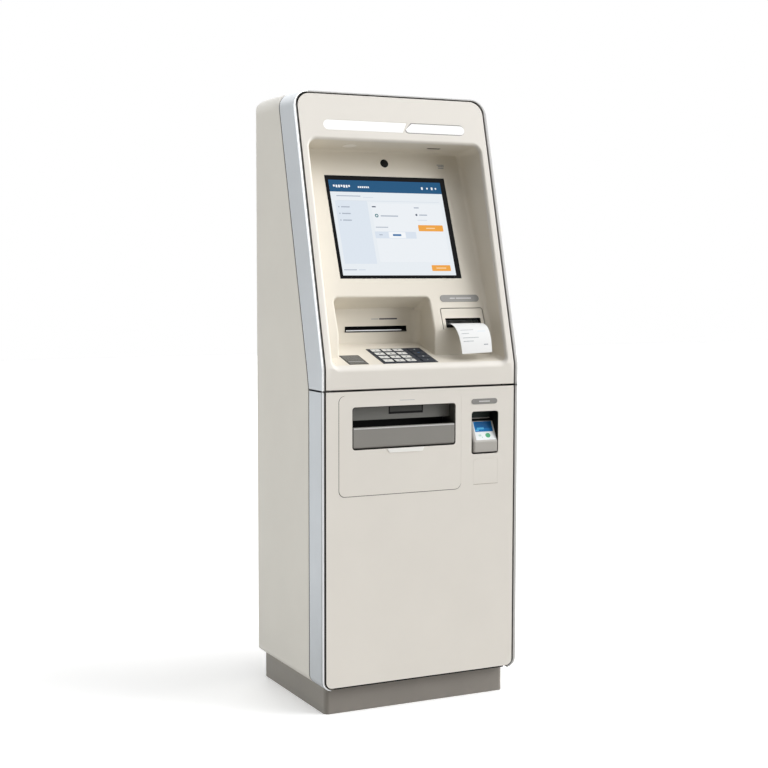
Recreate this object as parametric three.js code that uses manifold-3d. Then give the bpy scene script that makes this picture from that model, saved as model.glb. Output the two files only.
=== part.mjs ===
// A free-standing cash machine: a lower cabinet with a safe and a front door that carries the cash
// tray and the card reader, and an upper fascia that leans back and swings up from its top edge.
// Millimetres. +X is right, +Y is back and +Z is up. The origin is on the floor, under the middle.
import * as THREE from "three";
import { mergeVertices } from "three/addons/utils/BufferGeometryUtils.js";
import Module from "manifold-3d";

const wasm = await Module();
wasm.setup();

// ---------- driving dimensions ----------
const HALF_WIDTH = 285;
const FRONT = -228; // front plane of the silver trim below the kink
const BACK = 228;
const HOUSING_BOTTOM = 70;
const SEAM = 835; // joint between the lower door and the fascia
const KINK = 892; // above this height the front leans back
const TOP = 1600;
const SETBACK = 187; // how far the front has leaned back at the top
const LEAN = Math.atan2(SETBACK, TOP - KINK);
const GAP = 0.3; // between pieces that touch
const PANEL_GAP = 3.5; // round the door and the fascia
const TOP_GAP = 2.3; // over the fascia
const SKIN = 3; // moulded and sheet covers
const INSET = 1.5; // the door and the fascia sit this far behind the trim's front

const TRIM = { wide: 8, wideTop: 4, deep: 85.5, deepOnSlope: 99, topRadius: 43, bottomRadius: 27 };
const PLINTH = { side: 21, front: 32, back: 9, wall: 4, radius: 13 };
const SHELL = { wall: 3, backRadius: 21, topBackRadius: 45, bottomBackRadius: 20 };

const OPENING = { half: 252, top: 603, bottom: 880.4, radius: 23, rim: 12 }; // alcove mouth
const DRAFT = 0.1; // the alcove's side walls close in by this much per unit of depth
const PANEL_TILT = THREE.MathUtils.degToRad(20.9);
const PANEL = { y: -146, z: 1003, tilt: PANEL_TILT, half: 243, top: 482, foot: -27 };
const SHELF = { y: -212, z: 898.5, tilt: THREE.MathUtils.degToRad(16), lip: 18 };
const COLUMN_FOOT = -158; // the y of the upright face under the display panel
const POCKET = { left: -205, right: 72, top: 68, radius: 12, back: -58, ceiling: 1037.5 };
const CASH_SLOT = { left: -144, right: 38, low: 975, high: 989 };

const SCREEN = { centre: 2.5, low: 120, width: 359, height: 291 };
const CAMERA = { x: 7, t: 450, radius: 12 };
const PRINTER = { left: 99, right: 229, low: -23, high: 36.5 };
const PRINTER_SLOT = { left: 110, right: 217, low: -19, high: 7.5 };
const PAPER_ROLL = { y: -62, z: 985, radius: 36 };
const PLATEN = { y: -126, z: 983, radius: 8 };
const KEYPAD = { left: -104, right: 54, front: 2, back: 114 };
const KEY = { width: 28, depth: 20, columnPitch: 32.5, rowPitch: 26.5, functionWidth: 36 };
const READER_PLATE = { left: -200, right: -146, front: 3, back: 71 };
const SIGN = { left: -207, right: 210, split: 34, low: 627.5, high: 657, slant: 7 };

const MODULE = { left: -239, right: 114, low: 564, high: 822, radius: 17 };
const TRAY = { left: -199.5, right: 96, low: 684, high: 791, radius: 7.6, flapTop: 739.5 };
const SHUTTER = { y: -196, low: 759, high: 811, top: 814.5 };
const CARD = { left: 145.5, right: 226.5, low: 654, high: 767, radius: 7 };
const NOSE = { left: 160, slopeLow: 688, slopeHigh: 738, slopeBack: -199.5, rear: -185 };
const LOCK = { left: 152, right: 226, low: 573, high: 640 };

const FLAP = { axisY: FRONT + INSET + 5.2, axisZ: TRAY.low + 6.8, round: 5, gap: 1.6 };
const CYLINDER_LOCK = { x: 189, z: 606, radius: 11 };

const SAFE = { half: 235, front: -130, back: 205, low: 76, high: 660, wall: 10 };
const CASSETTE_PITCH = 112;
const FAN = { x: 0, z: 1246, radius: 52, y0: BACK - 34, y1: BACK - 12 };

const FASCIA_AXIS = { s: 712, d: 9.5 }; // slope length and depth of the fascia's hinge
const FASCIA_CORNER = 35; // clears the trim's inner corner as the fascia swings
const DOOR_AXIS = { x: -261, y: -220.5 };
const HINGE_PIN = { radius: 2.5, bore: 2.9 };

// ---------- colours ----------
const PAINT = { color: 0xd8d2c9, roughness: 0.45, metalness: 0 };
const SILVER = { color: 0xb4b8bb, roughness: 0.3, metalness: 0.9 };
const PLINTH_PAINT = { color: 0x847e76, roughness: 0.55, metalness: 0 };
const BLACK = { color: 0x15161a, roughness: 0.4, metalness: 0 };
const GREY = { color: 0x86837d, roughness: 0.5, metalness: 0 };
const STEEL = { color: 0xc4c6c6, roughness: 0.35, metalness: 0.9 };
const DARK_KEY = { color: 0x4a505c, roughness: 0.5, metalness: 0 };
const ZINC = { color: 0x9ea3a6, roughness: 0.5, metalness: 0.8 };
const SAFE_PAINT = { color: 0x5a5f63, roughness: 0.6, metalness: 0 };
const LENS_WHITE = { color: 0xffffff, roughness: 0.3, metalness: 0 };
const PAPER = { color: 0xf4f4f2, roughness: 0.8, metalness: 0 };
const GLASS = { color: 0x0a0b0d, roughness: 0.1, metalness: 0 };

// ---------- shape helpers ----------
function solidFrom(geometry) {
  const bare = geometry.index ? geometry.toNonIndexed() : geometry.clone();
  bare.deleteAttribute("normal");
  bare.deleteAttribute("uv");
  const merged = mergeVertices(bare, 1e-4);
  return new wasm.Manifold(
    new wasm.Mesh({
      numProp: 3,
      vertProperties: merged.attributes.position.array,
      triVerts: new Uint32Array(merged.index.array),
    }),
  );
}

function geometryFrom(solid) {
  const mesh = solid.getMesh();
  const geometry = new THREE.BufferGeometry();
  geometry.setAttribute("position", new THREE.BufferAttribute(mesh.vertProperties, 3));
  geometry.setIndex(new THREE.BufferAttribute(mesh.triVerts, 1));
  geometry.computeVertexNormals();
  return geometry;
}

const join = (first, ...rest) => rest.reduce((whole, piece) => whole.add(piece), first);
const cut = (first, ...rest) => rest.reduce((whole, piece) => whole.subtract(piece), first);

function polygon(points) {
  return new THREE.Shape(points.map(([u, v]) => new THREE.Vector2(u, v)));
}

// A rectangle whose four corners have their own radii: low left, low right, high right, high left.
function rounded(left, right, low, high, radii) {
  const [a, b, c, d] = Array.isArray(radii) ? radii : [radii, radii, radii, radii];
  const shape = new THREE.Shape();
  const corner = (x, y, r, start) => {
    if (r > 0) shape.absarc(x, y, r, start, start + Math.PI / 2);
    else shape.lineTo(x, y);
  };
  shape.moveTo(left + a, low);
  corner(right - b, low + b, b, -Math.PI / 2);
  corner(right - c, high - c, c, 0);
  corner(left + d, high - d, d, Math.PI / 2);
  corner(left + a, low + a, a, Math.PI);
  return shape;
}

function extrude(shape, depth, arcSteps) {
  return new THREE.ExtrudeGeometry(shape, { depth, bevelEnabled: false, curveSegments: arcSteps });
}

// A shape drawn in X and Y and extruded up from z0 to z1.
const prismZ = (shape, z0, z1, steps = 6) => solidFrom(extrude(shape, z1 - z0, steps).translate(0, 0, z0));
// A shape drawn in X and Z and extruded back from y0 to y1.
const prismY = (shape, y0, y1, steps = 6) =>
  solidFrom(extrude(shape, y1 - y0, steps).rotateX(Math.PI / 2).translate(0, y1, 0));
// A shape drawn in Y and Z and extruded right from x0 to x1.
function prismX(shape, x0, x1, steps = 6) {
  const turn = new THREE.Matrix4().makeBasis(
    new THREE.Vector3(0, 1, 0),
    new THREE.Vector3(0, 0, 1),
    new THREE.Vector3(1, 0, 0),
  );
  return solidFrom(extrude(shape, x1 - x0, steps).applyMatrix4(turn).translate(x0, 0, 0));
}

function box(x0, x1, y0, y1, z0, z1) {
  const geometry = new THREE.BoxGeometry(x1 - x0, y1 - y0, z1 - z0);
  return solidFrom(geometry.translate((x0 + x1) / 2, (y0 + y1) / 2, (z0 + z1) / 2));
}

function cylinder(axis, radius, from, to, [u, v], sides = 24) {
  const geometry = new THREE.CylinderGeometry(radius, radius, to - from, sides);
  const middle = (from + to) / 2;
  if (axis === "x") geometry.rotateZ(-Math.PI / 2).translate(middle, u, v);
  if (axis === "y") geometry.translate(u, middle, v);
  if (axis === "z") geometry.rotateX(Math.PI / 2).translate(u, v, middle);
  return solidFrom(geometry);
}

// A box whose eight corners are moved: corner(i, j, k) returns [x, y, z] for i, j, k of 0 or 1.
function hexahedron(corner) {
  const geometry = new THREE.BoxGeometry(1, 1, 1);
  const place = geometry.attributes.position;
  for (let n = 0; n < place.count; n++) {
    const [i, j, k] = [place.getX(n), place.getY(n), place.getZ(n)].map((c) => (c > 0 ? 1 : 0));
    place.setXYZ(n, ...corner(i, j, k));
  }
  return solidFrom(geometry);
}

// ---------- frames of the sloping planes ----------
const leanFrame = new THREE.Group(); // x right, y into the machine, z up the leaning front
leanFrame.position.set(0, FRONT, KINK);
leanFrame.rotation.x = -LEAN;
const panelFrame = new THREE.Group(); // the same, on the display panel
panelFrame.position.set(0, PANEL.y, PANEL.z);
panelFrame.rotation.x = -PANEL.tilt;
const shelfFrame = new THREE.Group(); // x right, y up the keypad shelf, z out of it
shelfFrame.position.set(0, SHELF.y, SHELF.z);
shelfFrame.rotation.x = SHELF.tilt;
for (const frame of [leanFrame, panelFrame, shelfFrame]) frame.updateMatrixWorld(true);

const machine = new THREE.Group();
machine.add(leanFrame, panelFrame, shelfFrame);

function add(name, solid, look, parent = machine) {
  const mesh = new THREE.Mesh(geometryFrom(solid), new THREE.MeshStandardMaterial(look));
  mesh.name = name;
  parent.add(mesh);
  return mesh;
}

// A solid made in one of the sloping frames, carried to the machine's own frame.
const fromFrame = (frame, solid) => solidFrom(geometryFrom(solid).applyMatrix4(frame.matrixWorld));

// A point of the leaning front, at slope length s and depth d behind the trim's front.
const onSlope = (s, d) => [
  FRONT + s * Math.sin(LEAN) + d * Math.cos(LEAN),
  KINK + s * Math.cos(LEAN) - d * Math.sin(LEAN),
];
// A point of the display panel, at height t up the panel and depth d behind its front.
const onPanel = (t, d = 0) => [
  PANEL.y + t * Math.sin(PANEL.tilt) + d * Math.cos(PANEL.tilt),
  PANEL.z + t * Math.cos(PANEL.tilt) - d * Math.sin(PANEL.tilt),
];
const shelfHeight = (y) => SHELF.z + (y - SHELF.y) * Math.tan(SHELF.tilt);
const slopeDepth = ([y, z]) => (y - FRONT) * Math.cos(LEAN) - (z - KINK) * Math.sin(LEAN);

// ---------- outlines that several pieces share ----------
const frontOutline = (shrink, low, lowRadius, high) =>
  rounded(-HALF_WIDTH + shrink, HALF_WIDTH - shrink, low, high, [
    lowRadius,
    lowRadius,
    TRIM.topRadius - shrink,
    TRIM.topRadius - shrink,
  ]);

// The side view between the front, moved back by d, and the plane y = back.
function sideOutline(d, back, low, high, backRadius = 0, lowRadius = 0) {
  const [kinkY, kinkZ] = [FRONT + d, KINK - d * Math.tan(LEAN / 2)];
  const topY = kinkY + (high - kinkZ) * Math.tan(LEAN);
  const shape = new THREE.Shape();
  shape.moveTo(kinkY, kinkZ);
  shape.lineTo(kinkY, low);
  if (lowRadius > 0) {
    shape.absarc(back - lowRadius, low + lowRadius, lowRadius, -Math.PI / 2, 0);
  } else {
    shape.lineTo(back, low);
  }
  if (backRadius > 0) {
    shape.absarc(back - backRadius, high - backRadius, backRadius, 0, Math.PI / 2);
  } else {
    shape.lineTo(back, high);
  }
  shape.lineTo(topY, high);
  return shape;
}

// The layer of the front between depths d0 and d1, upright below the kink and leaning above it.
function frontBand(d0, d1, low, high) {
  const kink = (d) => [FRONT + d, KINK - d * Math.tan(LEAN / 2)];
  const top = (d) => [kink(d)[0] + (high - kink(d)[1]) * Math.tan(LEAN), high];
  const outline = [[FRONT + d0, low], [FRONT + d1, low], kink(d1), top(d1), top(d0), kink(d0)];
  return prismX(polygon(outline), -HALF_WIDTH, HALF_WIDTH);
}

// ---------- cabinet ----------
function plinth() {
  const [half, y0, y1] = [HALF_WIDTH - PLINTH.side, FRONT + PLINTH.front, BACK - PLINTH.back];
  const high = HOUSING_BOTTOM - GAP;
  const outer = prismZ(rounded(-half, half, y0, y1, PLINTH.radius), 0, high);
  const w = PLINTH.wall;
  const inner = prismZ(rounded(-half + w, half - w, y0 + w, y1 - w, PLINTH.radius - w), w, high + 1);
  const anchors = [-1, 1].flatMap((i) =>
    [-140, 160].map((y) => cylinder("z", 7, -1, w + 1, [i * 190, y], 16)),
  );
  return cut(outer, inner, ...anchors);
}

function basePlate() {
  const half = HALF_WIDTH - TRIM.bottomRadius - 6;
  const low = HOUSING_BOTTOM + SHELL.wall + GAP;
  return box(-half, half, FRONT + 36, BACK - SHELL.bottomBackRadius - GAP, low, SAFE.low - GAP);
}

// The shell behind the trim: both sides, the top, the floor and the rear edges in one folded sheet.
function cabinetShell() {
  const body = (shrink, d, margin) => {
    const low = HOUSING_BOTTOM + shrink;
    const high = TOP - shrink;
    const front = prismY(
      frontOutline(shrink, low, TRIM.bottomRadius - shrink, high),
      FRONT - 1,
      BACK - shrink,
      8,
    );
    const radii = [SHELL.topBackRadius - shrink, SHELL.bottomBackRadius - shrink];
    const side = prismX(
      sideOutline(d, BACK - shrink, low - margin, high, ...radii),
      -HALF_WIDTH + shrink,
      HALF_WIDTH - shrink,
      8,
    );
    const r = SHELL.backRadius - shrink;
    const plan = prismZ(
      rounded(-HALF_WIDTH + shrink, HALF_WIDTH - shrink, FRONT - 1, BACK - shrink, [0, 0, r, r]),
      low - margin,
      high,
    );
    return front.intersect(side).intersect(plan);
  };
  const behindTrim = bandSide(GAP, HOUSING_BOTTOM - 5, TOP + 5, BACK + 5);
  const outer = body(0, 0, 0).intersect(behindTrim);
  const rear = box(-236, 236, BACK - 40, BACK + 5, 120, 1470);
  return cut(outer, body(SHELL.wall, -5, 0), rear);
}

// Everything behind the rear edge of the trim band, moved back by the gap.
function bandSide(gap, low, high, back) {
  const lowY = FRONT + TRIM.deep + gap;
  const shift = TRIM.deepOnSlope + gap - TRIM.deep - gap;
  const kinkZ = KINK - 60;
  const topY = FRONT + SETBACK + TRIM.deepOnSlope + gap + (high - TOP) * Math.tan(LEAN);
  const bendY = topY - (high - KINK) * Math.tan(LEAN);
  return prismX(
    polygon([
      [lowY, low],
      [back, low],
      [back, high],
      [topY, high],
      [bendY, KINK],
      [bendY - shift, kinkZ],
    ]),
    -HALF_WIDTH - 5,
    HALF_WIDTH + 5,
  );
}

function trim(low, high, lowRadius) {
  const outer = prismY(frontOutline(0, low, lowRadius, TOP), FRONT - 1, BACK, 8);
  const innerLow = lowRadius ? low + 3 : low - 5;
  const inner = prismY(
    frontOutline(TRIM.wide, innerLow, lowRadius ? 20 : 0, TOP - TRIM.wideTop),
    FRONT - 5,
    BACK + 5,
    8,
  );
  const side = prismX(sideOutline(0, BACK, low - 1, TOP + 1), -HALF_WIDTH - 1, HALF_WIDTH + 1);
  const ring = cut(outer.intersect(side), bandSide(0, low - 5, TOP + 5, BACK + 5), inner);
  return ring.intersect(box(-HALF_WIDTH - 1, HALF_WIDTH + 1, FRONT - 5, BACK, low - 1, high));
}

const upperTrim = () => trim(SEAM, TOP + 1, 0);
// The lower trim stops where its bottom corners have turned level, so it is two legs joined by a tie.
function lowerTrim() {
  const ring = trim(HOUSING_BOTTOM, SEAM - 1.2, TRIM.bottomRadius);
  const gapMiddle = box(-254, 254, FRONT - 5, FRONT + 30, HOUSING_BOTTOM - 1, HOUSING_BOTTOM + 12);
  return cut(ring, gapMiddle);
}

function backPanel() {
  const plate = prismY(rounded(-234, 234, 122, 1468, 6), BACK - SHELL.wall, BACK - 0.5);
  const louvres = [180, 1180].flatMap((z) =>
    Array.from({ length: 7 }, (_, n) => box(-110, 110, BACK - 10, BACK + 5, z + n * 22, z + n * 22 + 8)),
  );
  const flange = cut(
    box(-245, 245, BACK - SHELL.wall - 3, BACK - SHELL.wall - GAP, 111, 1479),
    box(-225, 225, BACK - 10, BACK, 131, 1459),
  );
  const duct = cut(
    cylinder("y", FAN.radius + 6, FAN.y0 - 4, BACK - 2, [FAN.x, FAN.z], 32),
    cylinder("y", FAN.radius + 3, FAN.y0 - 9, BACK - 3, [FAN.x, FAN.z], 32),
  );
  const motor = cylinder("y", 16, FAN.y1 + 0.5, BACK - 2, [FAN.x, FAN.z], 20);
  const tie = cut(
    box(-234, 234, BACK - SHELL.wall - 1, BACK - SHELL.wall + 0.5, 122, 1468),
    box(-226, 226, BACK - 10, BACK, 130, 1460),
  );
  const inlet = box(118, 168, BACK - 10, BACK + 5, 222, 252);
  return cut(join(plate, flange, tie, duct, motor), ...louvres, inlet);
}

function mainsInlet() {
  const body = box(118.5, 167.5, BACK - 20, BACK - 1, 222.5, 251.5);
  const flange = box(112, 174, BACK - SHELL.wall - 6, BACK - SHELL.wall - 3 - GAP, 216, 258);
  const socket = box(130, 156, BACK - 15, BACK + 1, 228, 246);
  return cut(join(body, flange), socket);
}

function midShelf() {
  const half = HALF_WIDTH - TRIM.wide - GAP;
  const plate = box(-half, half, -198, BACK - 14, 824, 828);
  const lip = box(-half, half, -198, -195, 819, 826);
  const riser = box(-half, -256, -198, -195, 825, 835);
  const tongue = box(-half, -256, -226, -195, SEAM - 2.6, SEAM);
  return join(plate, lip, riser, tongue);
}

// ---------- safe and what it holds ----------
function safeBody() {
  const w = SAFE.wall;
  const outer = box(-SAFE.half, SAFE.half, SAFE.front, SAFE.back, SAFE.low, SAFE.high);
  const half = SAFE.half - w;
  const inner = box(-half, half, SAFE.front - 1, SAFE.back - w, SAFE.low + w, SAFE.high - w);
  return cut(outer, inner);
}

function safeDoor() {
  const side = SAFE.half - SAFE.wall - 1.5;
  const [low, high] = [SAFE.low + SAFE.wall + 1.5, SAFE.high - SAFE.wall - 1.5];
  const slab = box(-side, side, SAFE.front + 1, SAFE.front + 13, low, high);
  const hub = cylinder("y", 16, SAFE.front - 12, SAFE.front + 5, [150, 380], 20);
  const lever = prismY(rounded(142, 158, 300, 392, 7), SAFE.front - 18, SAFE.front - 10, 4);
  const dial = cylinder("y", 26, SAFE.front - 16, SAFE.front + 5, [60, 380], 28);
  const outlet = box(-170, 66, SAFE.front - 5, SAFE.front + 20, 590, 634);
  return cut(join(slab, hub, lever, dial), outlet);
}

function cassette(level) {
  const low = SAFE.low + SAFE.wall + GAP + level * CASSETTE_PITCH;
  const body = box(-160, 160, -100, 150, low, low + 111.5);
  const grip = box(-50, 50, -101, -84, low + 62, low + 92);
  return cut(body, grip);
}

function cashDispenser() {
  const low = SAFE.low + SAFE.wall + 3 * CASSETTE_PITCH + GAP;
  const body = box(-175, 175, -100, 160, low, 575);
  const presenter = box(-160, 56, -114, 100, 574, 628);
  const throat = box(-150, 46, -120, 60, 600, 618);
  return cut(join(body, presenter), throat);
}

function pcBox() {
  const body = box(-150, 150, 62, 190, 828.3, 1010);
  const drive = box(-60, 60, 58, 70, 930, 950);
  const vents = Array.from({ length: 5 }, (_, n) => box(-100, 100, 57, 65, 850 + n * 14, 856 + n * 14));
  return cut(join(body, drive), ...vents);
}

function fanRotor() {
  const hub = cylinder("y", 19, FAN.y0, FAN.y1, [0, 0], 20);
  const blade = (turn) => {
    const plate = new THREE.BoxGeometry(FAN.radius - 14, 2, 15);
    plate.rotateX(0.7).translate(14 + (FAN.radius - 14) / 2, (FAN.y0 + FAN.y1) / 2, 0);
    return solidFrom(plate.rotateY(turn));
  };
  const blades = Array.from({ length: 7 }, (_, n) => blade((n * 2 * Math.PI) / 7));
  return join(hub, ...blades);
}

function fasciaHingePin() {
  const [y, z] = onSlope(FASCIA_AXIS.s, FASCIA_AXIS.d);
  return cylinder("x", HINGE_PIN.radius, -262, 262, [y, z], 16);
}
const doorHingePin = () =>
  cylinder("z", HINGE_PIN.radius, 77, SEAM - 2.9, [DOOR_AXIS.x, DOOR_AXIS.y], 16);

// ---------- fascia ----------
function fasciaFrame() {
  const side = HALF_WIDTH - TRIM.wide - PANEL_GAP;
  const low = SEAM + 1.5;
  const high = TOP - TRIM.wideTop - TOP_GAP;
  const flangeDepth = 14;
  const outline = (shrink) =>
    rounded(-side + shrink, side - shrink, low + shrink, high - shrink, [
      0,
      0,
      FASCIA_CORNER - shrink,
      FASCIA_CORNER - shrink,
    ]);
  const slab = (shrink, d0, d1) =>
    frontBand(d0, d1, low + shrink, TOP).intersect(prismY(outline(shrink), FRONT - 10, BACK));
  const skin = cut(slab(0, INSET, flangeDepth), slab(SKIN, INSET + SKIN, 60));
  const front = frontBand(INSET, 60, low, TOP);
  const mouth = (grow, y0, y1) => {
    const half = OPENING.half + grow;
    const r = OPENING.radius + grow;
    const leaning = rounded(-half, half, 0, OPENING.top + grow, [0, 0, r, r]);
    const upright = rounded(-half, half, OPENING.bottom - grow, KINK + 40, [r, r, 0, 0]);
    return join(
      fromFrame(leanFrame, prismY(leaning, y0, y1)),
      prismY(upright, FRONT + Math.min(y0, 0), FRONT + y1),
    );
  };
  const rim = mouth(SKIN, INSET + 0.5, OPENING.rim).intersect(front);
  const slots = signOutlines(0.5).map((outline) => fromFrame(leanFrame, prismY(outline, -5, 20)));
  const [axisY, axisZ] = onSlope(FASCIA_AXIS.s, FASCIA_AXIS.d);
  const knuckles = [-200, 0, 200].map((x) =>
    box(x - 15, x + 15, axisY - 5.5, axisY + 5.5, axisZ - 7, axisZ + 6),
  );
  const bore = cylinder("x", HINGE_PIN.bore, -300, 300, [axisY, axisZ], 16);
  return cut(join(skin, rim, ...knuckles), mouth(0, -40, 60), ...slots, bore).add(rolledLip());
}

// The front of the keypad shelf rolls over into the upright strip above the seam.
function rolledLip() {
  const turn = Math.PI / 2 - SHELF.tilt;
  const reach = SHELF.lip * Math.tan(turn / 2);
  const y0 = FRONT + INSET;
  const centreZ = OPENING.bottom;
  const shape = new THREE.Shape();
  shape.moveTo(y0, centreZ - 3);
  shape.lineTo(y0 + SKIN, centreZ - 3);
  shape.absarc(y0 + SHELF.lip, centreZ, SHELF.lip - SKIN, Math.PI, Math.PI - turn, true);
  shape.absarc(y0 + SHELF.lip, centreZ, SHELF.lip, Math.PI - turn, Math.PI, false);
  const end = OPENING.half - reach * 0.02;
  return prismX(shape, -end, end, 6);
}

// The sign's two lenses meet at a slanted joint; grow makes the openings in the fascia.
function signOutlines(grow) {
  const { left, right, split, low, high, slant } = SIGN;
  const r = (high - low) / 2 + grow;
  const middle = (low + high) / 2;
  const between = 2.5 - grow;
  const long = new THREE.Shape();
  long.moveTo(left + r, middle - r);
  long.lineTo(split - slant - between, middle - r);
  long.lineTo(split + slant - between, middle + r);
  long.absarc(left + r, middle, r, Math.PI / 2, 1.5 * Math.PI);
  const short = new THREE.Shape();
  short.moveTo(split - slant + between, middle - r + 9);
  short.lineTo(split - slant + between + 14, middle - r);
  short.absarc(right - r, middle, r, -Math.PI / 2, Math.PI / 2);
  short.lineTo(split + slant + between + 4, middle + r);
  return [long, short];
}

// Half the width of the alcove between its side walls, at the point [y, z].
const alcoveHalf = (point) => OPENING.half - DRAFT * Math.max(0, slopeDepth(point) - OPENING.rim);

function recessWalls() {
  const d = OPENING.rim + GAP;
  const frontTop = onSlope(OPENING.top, d);
  const backTop = onPanel(PANEL.top + 3, 0);
  const foot = [COLUMN_FOOT, shelfHeight(COLUMN_FOOT) + GAP];
  const bend = onPanel(PANEL.foot);
  const frontFoot = [onSlope(16, d)[0], shelfHeight(onSlope(16, d)[0]) + GAP];
  const outline = polygon([frontFoot, foot, bend, backTop, frontTop]);
  const wall = (hand) => {
    const plate = prismX(outline, 0, SKIN);
    const geometry = geometryFrom(plate);
    const place = geometry.attributes.position;
    for (let n = 0; n < place.count; n++) {
      const point = [place.getY(n), place.getZ(n)];
      place.setX(n, hand * (alcoveHalf(point) + place.getX(n)));
    }
    if (hand < 0) geometry.setIndex(Array.from(geometry.index.array).reverse());
    return solidFrom(geometry);
  };
  const ceiling = hexahedron((i, j, k) => {
    const [y, z] = j ? backTop : frontTop;
    const half = alcoveHalf([y, z]) + 1.5;
    return [i ? half : -half, y + (j ? 0 : k * SKIN * Math.tan(LEAN)), z + k * SKIN];
  });
  return join(wall(-1), wall(1), ceiling);
}

function screenOutline(shrink) {
  const half = SCREEN.width / 2 - shrink;
  const high = SCREEN.low + SCREEN.height - shrink;
  return rounded(SCREEN.centre - half, SCREEN.centre + half, SCREEN.low + shrink, high, 2);
}

function displayPanel() {
  const half = PANEL.half - 1;
  const high = PANEL.top - 1;
  const plate = prismY(
    polygon([
      [-half - 2.5, PANEL.foot],
      [half + 2.5, PANEL.foot],
      [half - 3.5, high],
      [-half + 3.5, high],
    ]),
    0,
    SKIN,
  );
  const screen = prismY(screenOutline(0), -5, 10, 2);
  const eye = cylinder("y", CAMERA.radius, -5, 10, [CAMERA.x, CAMERA.t]);
  const bezel = rounded(PRINTER.left, PRINTER.right, PRINTER.low - GAP, PRINTER.high, [0, 0, 7, 7]);
  const printer = prismY(bezel, -5, 10, 4);
  const sloping = fromFrame(panelFrame, cut(plate, screen, eye, printer));
  const [bendY, bendZ] = onPanel(PANEL.foot);
  const foot = shelfHeight(COLUMN_FOOT) + GAP;
  const face = polygon([
    [COLUMN_FOOT, foot],
    [COLUMN_FOOT + SKIN, foot + SKIN * Math.tan(SHELF.tilt)],
    [bendY + SKIN, bendZ],
    [bendY, bendZ + 0.4],
  ]);
  const upright = prismX(face, -half - 2.5, half + 2.5);
  const pocket = prismY(
    rounded(POCKET.left, POCKET.right, 880, onPanel(POCKET.top)[1], [0, 0, POCKET.radius, POCKET.radius]),
    -260,
    0,
  );
  return cut(join(sloping, upright), pocket);
}

// The pocket behind the display panel that holds the cash slot. The shelf is its floor.
function cashAlcove() {
  const [mouthY, mouthZ] = onPanel(POCKET.top, SKIN + GAP);
  const [bendY, bendZ] = onPanel(PANEL.foot, SKIN + GAP);
  const floor = (y) => shelfHeight(y) + GAP;
  const outline = (grow, forward) =>
    polygon([
      [COLUMN_FOOT + SKIN + GAP + 1 - forward, floor(COLUMN_FOOT + SKIN + 1.3 - forward)],
      [POCKET.back + grow, floor(POCKET.back + grow)],
      [POCKET.back + grow, POCKET.ceiling + grow],
      onPanel(POCKET.top + grow, SKIN + GAP),
      [mouthY - forward, mouthZ],
      [bendY + 0.5 - forward, bendZ],
    ]);
  const shell = prismX(outline(SKIN, 0), POCKET.left - SKIN, POCKET.right + SKIN);
  const hollow = prismX(outline(0, 30), POCKET.left, POCKET.right);
  const under = box(POCKET.left, POCKET.right, -260, POCKET.back, 880, 960);
  const slot = box(CASH_SLOT.left - 6, CASH_SLOT.right + 6, -80, 0, CASH_SLOT.low - 4, CASH_SLOT.high + 4);
  return cut(shell, hollow, under, slot);
}

function slotBezel() {
  const s = CASH_SLOT;
  const frame = prismY(
    rounded(s.left - 5.7, s.right + 5.7, s.low - 3.7, s.high + 3.7, 0),
    POCKET.back + 0.2,
    POCKET.back + 40,
  );
  const lip = box(s.left, s.right, POCKET.back - 3, POCKET.back + 3, s.low, s.low + 3);
  const throat = box(s.left, s.right, POCKET.back - 5, POCKET.back + 36, s.low, s.high);
  const root = box(s.left - 1, s.right + 1, POCKET.back + 0.4, POCKET.back + 3, s.low - 1, s.low + 3);
  return join(cut(frame, throat), lip, root);
}

function keypadShelf() {
  const front = -1.3;
  const mid = (COLUMN_FOOT - SHELF.y) / Math.cos(SHELF.tilt) + SKIN + 1;
  const back = (POCKET.back - SHELF.y) / Math.cos(SHELF.tilt) + SKIN;
  const edge = OPENING.half - 1.5;
  const plate = prismZ(
    polygon([
      [-edge, front],
      [edge, front],
      [edge - 3, mid],
      [POCKET.right + SKIN, mid],
      [POCKET.right + SKIN, back],
      [POCKET.left - SKIN, back],
      [POCKET.left - SKIN, mid],
      [-edge + 3, mid],
    ]),
    -SKIN,
    0,
  );
  const hole = (p, grow) => box(p.left - grow, p.right + grow, p.front - grow, p.back + grow, -10, 10);
  return cut(plate, hole(KEYPAD, GAP), hole(READER_PLATE, GAP));
}

// ---------- keypad ----------
const keyCentre = (column, row) => [
  KEYPAD.left + 6 + KEY.width / 2 + column * KEY.columnPitch,
  KEYPAD.back - 7 - KEY.depth / 2 - row * KEY.rowPitch,
];
const functionKeyCentre = (row) => [KEYPAD.right - 6 - KEY.functionWidth / 2, keyCentre(0, row)[1]];

function keypadFrame() {
  const block = box(KEYPAD.left, KEYPAD.right, KEYPAD.front, KEYPAD.back, -14, 1.2);
  const well = ([x, y], width) =>
    box(x - width / 2 - 0.6, x + width / 2 + 0.6, y - KEY.depth / 2 - 0.6, y + KEY.depth / 2 + 0.6, -9, 5);
  const wells = [0, 1, 2, 3].flatMap((row) => [
    ...[0, 1, 2].map((column) => well(keyCentre(column, row), KEY.width)),
    well(functionKeyCentre(row), KEY.functionWidth),
  ]);
  return cut(block, ...wells);
}

function keyCap(width) {
  const bevel = 0.8;
  const outline = rounded(
    -width / 2 + bevel,
    width / 2 - bevel,
    -KEY.depth / 2 + bevel,
    KEY.depth / 2 - bevel,
    1.2,
  );
  const options = { depth: 7, bevelSize: bevel, bevelThickness: bevel, bevelSegments: 1, curveSegments: 1 };
  return solidFrom(new THREE.ExtrudeGeometry(outline, options).translate(0, 0, -4.6));
}

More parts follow.
